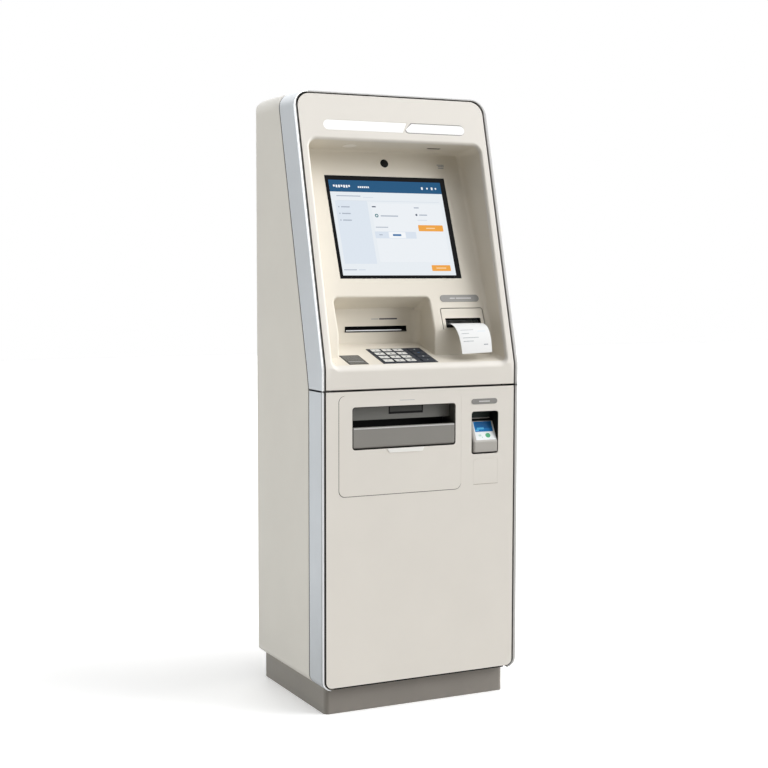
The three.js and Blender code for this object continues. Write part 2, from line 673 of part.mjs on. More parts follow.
function addKeys() {
  for (let n = 0; n < 12; n++) {
    const [x, y] = keyCentre(n % 3, Math.floor(n / 3));
    add("key_" + (n + 1), keyCap(KEY.width), STEEL, shelfFrame).position.set(x, y, 0);
  }
  for (let row = 0; row < 4; row++) {
    const [x, y] = functionKeyCentre(row);
    add("function_key_" + (row + 1), keyCap(KEY.functionWidth), DARK_KEY, shelfFrame).position.set(x, y, 0);
  }
}

function readerPlate() {
  const p = READER_PLATE;
  const plate = box(p.left, p.right, p.front, p.back, -6, 0.8);
  return cut(plate, box(p.left + 8, p.right - 8, p.front + 8, p.front + 30, 0, 2));
}

// ---------- screen, camera and sign ----------
function touchGlass() {
  return prismY(screenOutline(GAP), -0.6, 2.6, 2);
}

function monitorHousing() {
  const half = SCREEN.width / 2 + 10;
  const [low, high] = [SCREEN.low - 10, SCREEN.low + SCREEN.height + 10];
  const body = box(SCREEN.centre - half, SCREEN.centre + half, SKIN + GAP, 34, low, high);
  const rear = box(SCREEN.centre - 110, SCREEN.centre + 110, 33, 46, low + 50, high - 50);
  return join(body, rear);
}

function cameraLens() {
  const r = CAMERA.radius - GAP;
  const profile = [
    [0, -22],
    [r - 1, -22],
    [r - 1, 0],
    [r, 0],
    [r, 0.6],
    [r * 0.75, 2.2],
    [0, 3],
  ].map(([x, y]) => new THREE.Vector2(x, y));
  const turned = new THREE.LatheGeometry(profile, 24);
  return solidFrom(turned.rotateX(Math.PI).translate(CAMERA.x, 0, CAMERA.t));
}

// ---------- receipt printer ----------
function printerBezel() {
  const p = PRINTER;
  const g = 0.8;
  const s = PRINTER_SLOT;
  const plate = prismY(rounded(p.left + g, p.right - g, p.low, p.high - g, [0, 0, 6, 6]), 0, SKIN, 4);
  const throat = prismY(rounded(s.left - 3, s.right + 3, s.low - 3, s.high + 3, 2), 2, 16, 2);
  const slot = prismY(rounded(s.left, s.right, s.low, s.high, 1.5), -5, 30, 2);
  return cut(join(plate, throat), slot);
}

function printerBody() {
  const [left, right] = [PRINTER.left + 4, PRINTER.right - 4];
  const sideShape = polygon([
    [-132, 936],
    [-12, 936],
    [-12, 1030],
    [-100, 1030],
    [-118, 1000],
    [-132, 1000],
  ]);
  const cheeks = [left, right - 3].map((x) => prismX(sideShape, x, x + 3));
  const floor = box(left, right, -132, -12, 936, 939);
  const rear = box(left, right, -15, -12, 936, 1030);
  const bores = [
    cylinder("x", 3.6, left - 5, right + 5, [PAPER_ROLL.y, PAPER_ROLL.z], 12),
    cylinder("x", 3.6, left - 5, right + 5, [PLATEN.y, PLATEN.z], 12),
  ];
  return cut(join(cheeks[0], cheeks[1], floor, rear), ...bores);
}

function roller(radius, sides) {
  const [left, right] = [PRINTER.left + 8, PRINTER.right - 8];
  const drum = cylinder("x", radius, left, right, [0, 0], sides);
  const shaft = cylinder("x", 3, left - 3.5, right + 3.5, [0, 0], 12);
  return join(drum, shaft);
}

// The printed slip comes out of the slot, curls over and hangs down in front of it.
function receiptPaper() {
  const [y0, z0] = onPanel(-4, 20);
  const path = new THREE.CubicBezierCurve(
    new THREE.Vector2(y0, z0),
    new THREE.Vector2(y0 - 42, z0 + 9),
    new THREE.Vector2(-200, 985),
    new THREE.Vector2(-203, 914),
  );
  const middle = path.getPoints(14);
  const thick = 0.5;
  const offset = (side) =>
    middle.map((point, n) => {
      const along = path.getTangent(n / 14);
      return [point.x - along.y * side * thick, point.y + along.x * side * thick];
    });
  const outline = polygon([...offset(0.5), ...offset(-0.5).reverse()]);
  return prismX(outline, PRINTER_SLOT.left + 3.5, PRINTER_SLOT.right - 3.5);
}

// ---------- lower door ----------
function lowerDoor() {
  const side = HALF_WIDTH - TRIM.wide - PANEL_GAP;
  const [low, high] = [HOUSING_BOTTOM + 6, SEAM - 3];
  const [y0, y1] = [FRONT + INSET, FRONT + 22];
  const outline = (shrink) =>
    rounded(-side + shrink, side - shrink, low + shrink, high - shrink, [17 - shrink, 17 - shrink, 1, 1]);
  const pan = cut(prismY(outline(0), y0, y1, 5), prismY(outline(2), y0 + SKIN, y1 + 5, 5));
  const module = prismY(rounded(MODULE.left, MODULE.right, MODULE.low, MODULE.high, MODULE.radius), -300, 0);
  const card = prismY(rounded(CARD.left, CARD.right, CARD.low, CARD.high, CARD.radius), -300, 0, 4);
  const lock = prismY(rounded(LOCK.left, LOCK.right, LOCK.low, LOCK.high, 0), -300, 0);
  const knuckle = [110, 440, 790].map((z) =>
    box(DOOR_AXIS.x - 6, DOOR_AXIS.x + 8, DOOR_AXIS.y - 5.5, DOOR_AXIS.y + 6, z - 12, z + 12),
  );
  const bore = cylinder("z", HINGE_PIN.bore, 60, 850, [DOOR_AXIS.x, DOOR_AXIS.y], 16);
  return cut(join(cut(pan, module, card, lock), ...knuckle), bore);
}

function modulePanel() {
  const m = MODULE;
  const [wide, fine] = [1.6, 0.35]; // gaps: the low and left edges show, the others hardly
  const outline = (shrink) =>
    rounded(m.left + shrink, m.right - shrink, m.low + shrink, m.high - shrink, m.radius - shrink);
  const face = rounded(m.left + wide, m.right - fine, m.low + wide, m.high - fine, m.radius - fine);
  const plate = prismY(face, FRONT + INSET, FRONT + INSET + SKIN);
  const edge = cut(
    prismY(outline(4), FRONT + 4, FRONT + 16, 4),
    prismY(outline(7), FRONT, FRONT + 20, 4),
  );
  const tray = prismY(rounded(TRAY.left, TRAY.right, TRAY.low, TRAY.high, TRAY.radius), -300, 0, 4);
  return cut(join(plate, edge), tray);
}

function trayHousing() {
  const [left, right, low, high] = [TRAY.left - 4, TRAY.right + 4, TRAY.low - 6, SHUTTER.top];
  const front = FRONT + INSET + SKIN + GAP;
  const outer = box(left, right, front, -150, low, high);
  const inner = box(left + 2.5, right - 2.5, front - 1, -152.5, low + 2.5, high - 2.5);
  return cut(outer, inner);
}

function trayFlap() {
  const { axisY, axisZ, round, gap } = FLAP;
  const profile = new THREE.Shape();
  profile.moveTo(axisY + round, axisZ);
  profile.lineTo(axisY + round, TRAY.flapTop);
  profile.lineTo(axisY - round + 1.2, TRAY.flapTop);
  profile.lineTo(axisY - round, TRAY.flapTop - 1.2);
  profile.lineTo(axisY - round, axisZ);
  profile.absarc(axisY, axisZ, round, Math.PI, 2 * Math.PI);
  const [left, right] = [TRAY.left + gap, TRAY.right - gap];
  const corners = prismY(rounded(left, right, TRAY.low + gap, TRAY.high, TRAY.radius), -300, 0, 4);
  return prismX(profile, left, right, 6).intersect(corners);
}

function cashShutter() {
  const plate = box(TRAY.left + 1, TRAY.right - 1, SHUTTER.y, SHUTTER.y + 2.5, SHUTTER.low, SHUTTER.high);
  return cut(plate, box(-83, 16, SHUTTER.y - 1, SHUTTER.y + 1, 776.5, 800));
}

// The reader's body fills the opening; its nose slopes forward and its mouth is above the nose.
function cardReader() {
  const g = 1.3;
  const [left, right] = [CARD.left + g, CARD.right - g];
  const [low, high] = [CARD.low + g, CARD.high - g];
  const profile = polygon([
    [NOSE.rear, low],
    [FRONT + INSET, low],
    [FRONT + INSET, NOSE.slopeLow],
    [NOSE.slopeBack, NOSE.slopeHigh],
    [NOSE.rear, NOSE.slopeHigh],
  ]);
  const nose = prismX(profile, NOSE.left, right);
  const rear = box(left, right, NOSE.rear - 3, -150, low, high);
  const slotBlock = box(NOSE.left + 3, right - 4, NOSE.rear - 6, -150, NOSE.slopeHigh + 6, high);
  const slot = box(NOSE.left + 8, right - 9, -200, -160, NOSE.slopeHigh + 12, NOSE.slopeHigh + 15);
  const cheek = box(left, left + 2, -215, -150, low, high);
  const roof = box(left, right, -215, -150, high - 2, high);
  const sill = box(left, NOSE.left + 1, -215, -150, low, low + 2);
  const corners = prismY(rounded(left, right, low, high, CARD.radius - g), -300, 0, 4);
  return cut(join(nose, rear, slotBlock, cheek, roof, sill), slot).intersect(corners);
}

// A flush flap whose top edge is rounded about its hinge axis.
function lockCover() {
  const g = 0.3;
  const round = SKIN / 2;
  const axisY = FRONT + INSET + round;
  const profile = new THREE.Shape();
  profile.moveTo(axisY - round, LOCK.low + 4 * g);
  profile.lineTo(axisY + round, LOCK.low + 4 * g);
  profile.absarc(axisY, LOCK.high - g - round, round, 0, Math.PI);
  return prismX(profile, LOCK.left + g, LOCK.right - g, 6);
}

function doorLock() {
  const barrel = cylinder("y", CYLINDER_LOCK.radius, -214, -186, [0, 0], 24);
  const cam = box(-8, 8, -187, -183, -8, 38);
  const keyway = box(-1.2, 1.2, -220, -209, -6, 6);
  return cut(join(barrel, cam), keyway);
}

// ---------- assembly ----------
add("plinth", plinth(), PLINTH_PAINT);
add("base_plate", basePlate(), ZINC);
add("cabinet_shell", cabinetShell(), PAINT);
add("upper_trim", upperTrim(), SILVER);
add("lower_trim", lowerTrim(), SILVER);
add("back_panel", backPanel(), PAINT);
add("mains_inlet", mainsInlet(), BLACK);
add("mid_shelf", midShelf(), ZINC);
add("safe_body", safeBody(), SAFE_PAINT);
add("safe_door", safeDoor(), SAFE_PAINT);
for (let level = 0; level < 3; level++) add("cash_cassette_" + (level + 1), cassette(level), GREY);
add("cash_dispenser", cashDispenser(), ZINC);
add("pc_box", pcBox(), BLACK);
add("fan_rotor", fanRotor(), BLACK).position.set(FAN.x, 0, FAN.z);
add("fascia_hinge_pin", fasciaHingePin(), STEEL);
add("door_hinge_pin", doorHingePin(), STEEL);

add("fascia_frame", fasciaFrame(), PAINT);
add("recess_walls", recessWalls(), PAINT);
add("display_panel", displayPanel(), PAINT);
add("cash_alcove", cashAlcove(), PAINT);
add("slot_bezel", slotBezel(), SILVER);
const [longSign, shortSign] = signOutlines(0);
add("sign_lens_left", prismY(longSign, INSET + 0.3, 16), LENS_WHITE, leanFrame);
add("sign_lens_right", prismY(shortSign, INSET + 0.3, 16), LENS_WHITE, leanFrame);
add("touch_glass", touchGlass(), GLASS, panelFrame);
add("monitor_housing", monitorHousing(), BLACK, panelFrame);
add("camera_lens", cameraLens(), BLACK, panelFrame);
add("keypad_shelf", keypadShelf(), PAINT, shelfFrame);
add("keypad_frame", keypadFrame(), DARK_KEY, shelfFrame);
addKeys();
add("reader_plate", readerPlate(), GREY, shelfFrame);
add("printer_bezel", printerBezel(), PAINT, panelFrame);
add("printer_body", printerBody(), ZINC);
add("paper_roll", roller(PAPER_ROLL.radius, 28), PAPER).position.set(0, PAPER_ROLL.y, PAPER_ROLL.z);
add("platen_roller", roller(PLATEN.radius, 16), BLACK).position.set(0, PLATEN.y, PLATEN.z);
add("receipt_paper", receiptPaper(), PAPER);

add("lower_door", lowerDoor(), PAINT);
add("module_panel", modulePanel(), PAINT);
add("tray_housing", trayHousing(), BLACK);
add("tray_flap", trayFlap(), GREY);
add("cash_shutter", cashShutter(), GREY);
add("card_reader", cardReader(), GREY);
add("lock_cover", lockCover(), PAINT);
add("door_lock", doorLock(), STEEL).position.set(CYLINDER_LOCK.x, 0, CYLINDER_LOCK.z);

export default machine;
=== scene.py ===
"""A free-standing cash machine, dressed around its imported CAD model. Lengths are in millimetres until
they reach a mesh, which is in metres. +X is right, +Y is back and +Z is up, as in the CAD model."""
from math import atan2, cos, hypot, pi, radians, sin, tan

import bmesh
import bpy
from mathutils import Matrix, Vector
from mathutils.geometry import tessellate_polygon


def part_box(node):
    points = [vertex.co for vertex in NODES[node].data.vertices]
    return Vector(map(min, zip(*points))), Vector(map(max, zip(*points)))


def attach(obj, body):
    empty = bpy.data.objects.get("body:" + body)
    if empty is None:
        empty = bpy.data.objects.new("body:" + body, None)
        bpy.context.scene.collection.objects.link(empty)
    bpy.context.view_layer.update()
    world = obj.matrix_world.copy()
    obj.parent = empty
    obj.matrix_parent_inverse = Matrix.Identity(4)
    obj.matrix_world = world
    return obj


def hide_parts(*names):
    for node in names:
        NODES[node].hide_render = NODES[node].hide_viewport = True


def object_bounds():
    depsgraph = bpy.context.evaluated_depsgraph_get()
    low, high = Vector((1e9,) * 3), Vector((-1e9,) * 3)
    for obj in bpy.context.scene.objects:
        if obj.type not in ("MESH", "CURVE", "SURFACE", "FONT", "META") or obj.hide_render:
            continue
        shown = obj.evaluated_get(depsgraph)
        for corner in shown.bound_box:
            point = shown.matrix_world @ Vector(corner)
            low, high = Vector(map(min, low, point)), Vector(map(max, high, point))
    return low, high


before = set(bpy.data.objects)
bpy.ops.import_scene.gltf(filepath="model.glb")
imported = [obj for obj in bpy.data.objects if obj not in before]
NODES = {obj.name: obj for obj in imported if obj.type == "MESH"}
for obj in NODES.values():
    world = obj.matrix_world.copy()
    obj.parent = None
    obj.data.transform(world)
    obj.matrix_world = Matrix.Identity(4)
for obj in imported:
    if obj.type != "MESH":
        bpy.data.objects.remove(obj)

CAD_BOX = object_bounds()
MM = 0.001
QUARTER = pi / 2

# ---------- the CAD model's dimensions, in millimetres ----------
HALF_WIDTH = CAD_BOX[1].x / MM
FRONT = CAD_BOX[0].y / MM
TOP = CAD_BOX[1].z / MM
KINK = 892  # the height where the upright front starts to lean
TOP_SETBACK = 187
LEAN = atan2(TOP_SETBACK, TOP - KINK)
SEAM = 835  # the height where the door meets the fascia
SEAM_GAP = 1.8
SKIN_DEPTH = 1.5  # from the trim's front back to the painted front
SIDE = 273.5  # half the width of the painted front
LIP_RADIUS, LOW_LIP_EXTRA = 8, 10
PANEL_Y, PANEL_Z, PANEL_TILT = -146, 1003, radians(20.9)
PANEL_FOOT = -27  # the bend below the leaning panel
FOOT_SLOPE = 0.037
SHELF_Y, SHELF_Z, SHELF_TILT = -212, 898.5, radians(16)
COLUMN_FOOT = -158  # where the shelf meets the wall beside the pocket


def on_slope(s, d):
    """Y and Z on the leaning front, s along the slope and d behind it."""
    return (
        FRONT + s * sin(LEAN) + d * cos(LEAN),
        KINK + s * cos(LEAN) - d * sin(LEAN),
    )


def on_front(x, s, d):
    """A point of the fascia's front: s is below 0 on the upright strip, and d is the depth."""
    shift = d * tan(LEAN / 2) * max(0, 1 - abs(s) / 20)
    if s >= 0:
        return (x, *on_slope(s + shift, d))
    return (x, FRONT + d, KINK + s - shift)


def on_panel(x, t, h=0):
    """A point of the alcove's back wall, t up the panel and h in front of it."""
    if t >= PANEL_FOOT:
        return (
            x,
            PANEL_Y + t * sin(PANEL_TILT) - h * cos(PANEL_TILT),
            PANEL_Z + t * cos(PANEL_TILT) + h * sin(PANEL_TILT),
        )
    _, bend_y, bend_z = on_panel(x, PANEL_FOOT)
    drop = PANEL_FOOT - t
    return (x, bend_y - drop * FOOT_SLOPE - h, bend_z - drop)


def shelf_height(y):
    return SHELF_Z + (y - SHELF_Y) * tan(SHELF_TILT)


def front_y(z, d):
    """The y of the machine's side view at height z, moved back by d."""
    kink = KINK - d * tan(LEAN / 2)
    return FRONT + d + max(0, z - kink) * tan(LEAN)


def box_mm(node):
    """The lowest and highest corners of a CAD node, each as x, y and z."""
    return [[c / MM for c in corner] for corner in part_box(node)]


# ---------- materials ----------
def new_material(name):
    made = bpy.data.materials.new(name)
    made.use_nodes = True
    return made, made.node_tree, made.node_tree.nodes["Principled BSDF"]


def set_inputs(node, values):
    for name, value in values.items():
        node.inputs[name].default_value = value
    return node


def add_node(tree, kind, values):
    return set_inputs(tree.nodes.new("ShaderNode" + kind), values)


def object_coords(tree):
    return tree.nodes.new("ShaderNodeTexCoord").outputs["Object"]


def noise(tree, coords, scale, detail, stretch=(1, 1, 1)):
    mapping = add_node(tree, "Mapping", {"Scale": stretch})
    tree.links.new(coords, mapping.inputs["Vector"])
    made = add_node(tree, "TexNoise", {"Scale": scale, "Detail": detail})
    tree.links.new(mapping.outputs["Vector"], made.inputs["Vector"])
    return made.outputs["Fac"]


def spread(tree, value, low, high):
    """Turns the middle part of a noise's range into one from low to high."""
    made = add_node(tree, "MapRange", {"From Min": 0.3, "From Max": 0.7, "To Min": low, "To Max": high})
    tree.links.new(value, made.inputs["Value"])
    return made.outputs["Result"]


def mix_colours(tree, factor, a, b):
    made = tree.nodes.new("ShaderNodeMix")
    made.data_type = "RGBA"
    set_inputs(made, {"A": (*a, 1), "B": (*b, 1)})
    tree.links.new(factor, made.inputs["Factor"])
    return made.outputs["Result"]


def surface(
    name, colour, rough=0.45, metal=0.0, mottle=0.03, patch=7, grain=1200, bump=0.1,
    depth=0.00004, stretch=(1, 1, 1), specular=0.5, rough_spread=0.06, glow=0.0,
):
    """A material whose colour drifts in patches and whose gloss and relief follow a fine grain."""
    made, tree, shader = new_material(name)
    coords = object_coords(tree)
    patches = spread(tree, noise(tree, coords, patch, 4.0), 0, 1)
    darker = [c * (1 - mottle) for c in colour]
    paler = [min(1, c * (1 + mottle)) for c in colour]
    tint = mix_colours(tree, patches, darker, paler)
    tree.links.new(tint, shader.inputs["Base Color"])
    fine = noise(tree, coords, grain, 3.0, stretch)
    gloss = spread(tree, fine, max(0.02, rough - rough_spread), min(1, rough + rough_spread))
    tree.links.new(gloss, shader.inputs["Roughness"])
    relief = add_node(tree, "Bump", {"Strength": bump, "Distance": depth})
    tree.links.new(fine, relief.inputs["Height"])
    tree.links.new(relief.outputs["Normal"], shader.inputs["Normal"])
    set_inputs(shader, {"Metallic": metal, "Specular IOR Level": specular})
    if glow:
        tree.links.new(tint, shader.inputs["Emission Color"])
        shader.inputs["Emission Strength"].default_value = glow
    return made


def shadow(name, colour):
    """A dull dark finish that paints the shade in seams, gaps and edges."""
    return surface(name, colour, 0.6, grain=900, bump=0.2, specular=0.15)


def drawn(name, colour, rough, metal=0.0, specular=0.5):
    """A metal edge with a fine grain along its height."""
    return surface(
        name, colour, rough, metal, grain=400, stretch=(1, 1, 0.02), bump=0.03, specular=specular,
    )


def ink(name, colour, rough=0.6, mottle=0.1, patch=7):
    return surface(name, colour, rough, grain=2500, bump=0.1, mottle=mottle, patch=patch)


def sticker(name, colour, rough=0.3):
    return surface(name, colour, rough, grain=1500, bump=0.1, specular=0.06)


PAINT = surface(
    "warm_white_paint", (0.755, 0.727, 0.68), 0.45, grain=900, bump=0.12, mottle=0.015, specular=0.3,
)
# The alcove's paint: a darker, warmer copy of the body paint, painted shade for the recess.
ALCOVE_SHADED_PAINT = surface(
    "alcove_paint_with_painted_shade", (0.73, 0.687, 0.605), 0.5, grain=1300, bump=0.16, mottle=0.015, specular=0.3,
)
PLINTH_PAINT = surface("plinth_paint", (0.23, 0.212, 0.19), 0.5, grain=700, bump=0.3, mottle=0.06)
SAFE_PAINT = surface(
    "safe_paint", (0.10, 0.11, 0.12), 0.55, grain=260, bump=0.7, depth=0.0004, mottle=0.08,
)
ALUMINIUM = surface(
    "anodised_aluminium", (0.44, 0.465, 0.49), 0.36, 0.7, grain=500, stretch=(1, 1, 0.05),
    bump=0.025, rough_spread=0.03,
)
# On the trims' left-hand runs the bright and brushed edges are a painted highlight; the brushed one is also
# the cash slot's metal lip. The satin edge is the plain one.
EDGE_HIGHLIGHT = drawn("painted_edge_highlight", (0.86, 0.87, 0.88), 0.2, 0.6)
SATIN = drawn("satin_edge", (0.54, 0.54, 0.535), 0.4, specular=0.2)
BRUSHED_AND_HIGHLIGHT = drawn("brushed_edge_and_painted_highlight", (0.62, 0.63, 0.64), 0.35, 0.7)
# Painted shade in gaps and at seams: on the fascia's skirt, the door's edges, the shelf's front, the trims'
# seam faces and the module panel's gap. The edge grey is also a plain grey under the cash slot's lip.
GAP_SHADE = shadow("painted_gap_shade", (0.075, 0.072, 0.068))
GROOVE = shadow("groove_shadow", (0.10, 0.092, 0.08))
EDGE_GREY_AND_SHADE = shadow("edge_grey_and_painted_shade", (0.20, 0.20, 0.195))
BEIGE_DARK = surface("beige_shadow", (0.33, 0.29, 0.245), 0.5, bump=0.2)
ZINC = surface("zinc_plate", (0.45, 0.47, 0.48), 0.42, 0.85, mottle=0.16, patch=60, grain=600)
PIN = surface(
    "turned_steel", (0.55, 0.55, 0.56), 0.3, 1.0, grain=900, stretch=(1, 1, 0.05), mottle=0.05,
)
KEY = surface(
    "blasted_steel", (0.78, 0.785, 0.76), 0.4, 0.2, grain=2200, bump=0.3, mottle=0.05, patch=90,
)
MACHINE = surface("machine_grey", (0.30, 0.31, 0.32), 0.5, 0.2, mottle=0.08, patch=25, grain=900)
GREY = surface("warm_grey_plastic", (0.205, 0.198, 0.182), 0.48, grain=1600, bump=0.3, mottle=0.04)
READER_GREY = surface("reader_grey", (0.40, 0.385, 0.36), grain=1600, bump=0.25, mottle=0.04)
# Also painted light on the tray housing's faces turned to the left.
SHUTTER_GREY_AND_LIGHT = surface("shutter_grey_and_painted_light", (0.15, 0.15, 0.137), grain=1400, bump=0.2, mottle=0.05)
# Also painted shade as the crosses of the back screws.
DARK_GREY_AND_SHADE = surface(
    "dark_grey_and_painted_shade", (0.060, 0.060, 0.056), 0.5, grain=1600, bump=0.25, mottle=0.08, specular=0.25,
)
KEYPAD = surface(
    "keypad_plastic", (0.030, 0.035, 0.046), 0.5, grain=1500, bump=0.25, mottle=0.06, specular=0.25,
)
# Also painted shadow: under the door, round the tray's opening and round the shutter's plate.
BLACK_AND_SHADOW = surface(
    "black_plastic", (0.006, 0.006, 0.006), 0.55, grain=1500, bump=0.3, mottle=0.1, specular=0.1,
)
SLOT_GREEN = surface("slot_block", (0.006, 0.012, 0.009), 0.5, grain=1500, bump=0.2, specular=0.2)
RUBBER = surface("roller_rubber", (0.03, 0.03, 0.032), 0.7, grain=900, bump=0.3, mottle=0.08)
LENS = surface(
    "lit_lens", (0.62, 0.62, 0.62), 0.3, mottle=0.0, grain=300, bump=0.03, glow=0.65, specular=0.1,
)
EYELID = surface("ceiling_lens", (0.80, 0.77, 0.71), 0.4, grain=1500, glow=0.06, specular=0.15)
GLASS = surface(
    "screen_glass", (0.003, 0.003, 0.004), 0.16, grain=60, bump=0.0, rough_spread=0.03, specular=0.03,
)
WINDOW = surface("reader_window", (0.125, 0.125, 0.118), 0.3, grain=1500, mottle=0.05)
LABEL = surface("label_grey", (0.215, 0.21, 0.20), 0.4, grain=1500, bump=0.2, mottle=0.05)
TAB_WHITE = surface("tab_white", (0.86, 0.855, 0.83), 0.4, grain=1500)
PAPER = surface("thermal_paper", (0.90, 0.91, 0.92), 0.55, grain=1700, bump=0.2, mottle=0.01)
# Darker than the roll's paper: painted shade on the slip.
SLIP_PAPER_SHADED = surface(
    "receipt_paper", (0.765, 0.775, 0.78), 0.55, grain=1700, bump=0.2, mottle=0.01, specular=0.15,
)
FAINT_PRINT = surface("faint_print", (0.60, 0.68, 0.75), 0.6, grain=1500)
INK = ink("grey_ink", (0.30, 0.32, 0.36), 0.7, 0.15, 300)
DARK_INK = ink("dark_ink", (0.035, 0.035, 0.045))
# Also a painted highlight along the flap's top.
PALE_INK_AND_HIGHLIGHT = ink("pale_ink_and_painted_highlight", (0.55, 0.55, 0.55), 0.5, patch=300)
FADED_INK = ink("faded_ink", (0.44, 0.46, 0.48), mottle=0.2, patch=400)
STICKER_WHITE = sticker("sticker_white", (0.82, 0.86, 0.88), 0.35)
STICKER_BLUE = sticker("sticker_blue", (0.008, 0.17, 0.47))
STICKER_DEEP = sticker("sticker_deep_blue", (0.004, 0.11, 0.33))
STICKER_SKY = sticker("sticker_sky", (0.08, 0.42, 0.72))
STICKER_MINT = sticker("sticker_mint", (0.50, 0.66, 0.62))
TEAL = sticker("teal_ink", (0.10, 0.40, 0.21), 0.4)


def screen_colour(name, colour):
    """A lit colour of the display: a little gloss, faint pixel rows and its own light."""
    made, tree, shader = new_material("screen_" + name)
    rows = noise(tree, object_coords(tree), 900, 0.0, (0.2, 1, 1))
    tint = mix_colours(tree, rows, [c * 0.97 for c in colour], colour)
    tree.links.new(tint, shader.inputs["Emission Color"])
    set_inputs(shader, {
        "Base Color": (0.01, 0.01, 0.012, 1), "Emission Strength": 1.0, "Roughness": 0.35,
        "Specular IOR Level": 0.03,
    })
    return made


# ---------- mesh helpers ----------
def add_object(name, data):
    made = bpy.data.objects.new(name, data)
    bpy.context.scene.collection.objects.link(made)
    return made


def weigh(piece):
    weighted = piece.modifiers.new("weighted", "WEIGHTED_NORMAL")
    weighted.keep_sharp = True
    weighted.weight = 60


def dress(node, finish, width, other=None, pick=None):
    """A carried-over CAD node: its facets are merged, its edges rounded and its material set. The
    faces that pick(face, low, high) chooses get the other material."""
    piece = NODES[node]
    mesh = piece.data
    mesh.materials.clear()
    mesh.materials.append(finish)
    if other:
        mesh.materials.append(other)
        low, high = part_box(node)
        for face in mesh.polygons:
            face.material_index = int(pick(face, low, high))
    if "custom_normal" in mesh.attributes:
        mesh.attributes.remove(mesh.attributes["custom_normal"])
    for face in mesh.polygons:
        face.use_smooth = True
    weld = piece.modifiers.new("weld", "WELD")
    weld.merge_threshold = 0.00002
    flat = piece.modifiers.new("flat", "DECIMATE")
    flat.decimate_type = "DISSOLVE"
    flat.angle_limit = radians(0.6)
    edges = piece.modifiers.new("bevel", "BEVEL")
    edges.width = width * MM
    edges.segments = 2
    edges.limit_method = "ANGLE"
    edges.angle_limit = radians(28)
    weigh(piece)


def at_outline(face, low, high):
    """Whether a face lies at its node's left, right or top outline and is turned outwards."""
    turned = max(abs(face.normal.x), abs(face.normal.z)) > 0.5
    return turned and min(face.center.x - low.x, high.x - face.center.x, high.z - face.center.z) < 0.0012


def key_side(face, low, high):
    return face.normal.dot(SHELF_PLANE.out) < 0.9


def turns(start, sweep, steps):
    """Angles in even steps from start to start + sweep."""
    return [start + sweep * n / steps for n in range(steps + 1)]


def arc(u, v, r, start, sweep, steps):
    """Points round a centre, as (u, v, outward u, outward v)."""
    return [(u + r * cos(t), v + r * sin(t), cos(t), sin(t)) for t in turns(start, sweep, steps)]


def rounding(steps):
    """The steps of a quarter round of radius 1: how far is left to go outwards, and how far it is in."""
    return [(1 - sin(t), 1 - cos(t)) for t in turns(0, QUARTER, steps)]


def ellipse(u, v, half_wide, half_tall, count):
    angles = [n * 2 * pi / count for n in range(count)]
    return [(u + half_wide * cos(t), v + half_tall * sin(t)) for t in angles]


def rectangle(left, right, low, high):
    return [(left, low), (right, low), (right, high), (left, high)]


def outline(left, right, low, high, radii, steps=8, splits=()):
    """A rounded rectangle, anticlockwise from the low left corner, as (u, v, outward u, outward v).
    radii go round from the low left; splits are extra points along the two upright sides."""
    a, b, c, d = radii if isinstance(radii, tuple) else (radii,) * 4
    made = arc(left + a, low + a, a, pi, QUARTER, steps)
    made += arc(right - b, low + b, b, 1.5 * pi, QUARTER, steps)
    made += [(right, low + b + f * (high - c - low - b), 1, 0) for f in splits]
    made += arc(right - c, high - c, c, 0, QUARTER, steps)
    made += arc(left + d, high - d, d, QUARTER, QUARTER, steps)
    return made + [(left, low + a + f * (high - d - low - a), -1, 0) for f in reversed(splits)]


def inset(loop, by=0.0):
    """The (u, v) points of an outline, moved inwards."""
    return [(u - out_u * by, v - out_v * by) for u, v, out_u, out_v in loop]


class Sheet:
    """Points and faces of one mesh, gathered part by part."""

    def __init__(self):
        self.points, self.faces, self.finish = [], [], []

    def add(self, points, faces, finish=0):
        base = len(self.points)
        self.points += points
        self.faces += [[base + n for n in face] for face in faces]
        self.finish += [finish] * len(faces)

    def cap(self, points, finish=0):
        """One face through all the points."""
        self.add(points, [list(range(len(points)))], finish)

    def loft(self, rows, closed=True, finish=0):
        """Quads between rows of equal length."""
        count = len(rows[0])
        faces = []
        for r in range(len(rows) - 1):
            for n in range(count if closed else count - 1):
                m = (n + 1) % count
                faces.append([r * count + n, r * count + m, (r + 1) * count + m, (r + 1) * count + n])
        self.add([p for row in rows for p in row], faces, finish)

    def fill(self, loops, place, finish=0):
        """A flat area bounded by the first loop, with the others as its holes."""
        flat = [p for loop in loops for p in loop]
        triangles = tessellate_polygon([[Vector((u, v, 0)) for u, v in loop] for loop in loops])
        self.add([place(u, v) for u, v in flat], [list(t) for t in triangles], finish)

    def make(self, name, body, finishes, replaces=(), smooth=True, angle=35):
        """The finished piece, riding on its body. Edges sharper than the angle stay sharp."""
        mesh = bpy.data.meshes.new(name)
        mesh.from_pydata([Vector(p) * MM for p in self.points], [], self.faces)
        made = add_object(name, mesh)
        for each in finishes:
            mesh.materials.append(each)
        mesh.polygons.foreach_set("material_index", self.finish)
        work = bmesh.new()
        work.from_mesh(mesh)
        bmesh.ops.remove_doubles(work, verts=work.verts, dist=0.000005)
        bmesh.ops.dissolve_degenerate(work, edges=work.edges, dist=0.000002)
        bmesh.ops.recalc_face_normals(work, faces=work.faces)
        for edge in work.edges:
            edge.smooth = len(edge.link_faces) == 2 and edge.calc_face_angle(0) < radians(angle)
        for face in work.faces:
            face.smooth = smooth
        work.to_mesh(mesh)
        work.free()
        if smooth:
            weigh(made)
        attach(made, body)
        if replaces:
            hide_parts(*replaces)


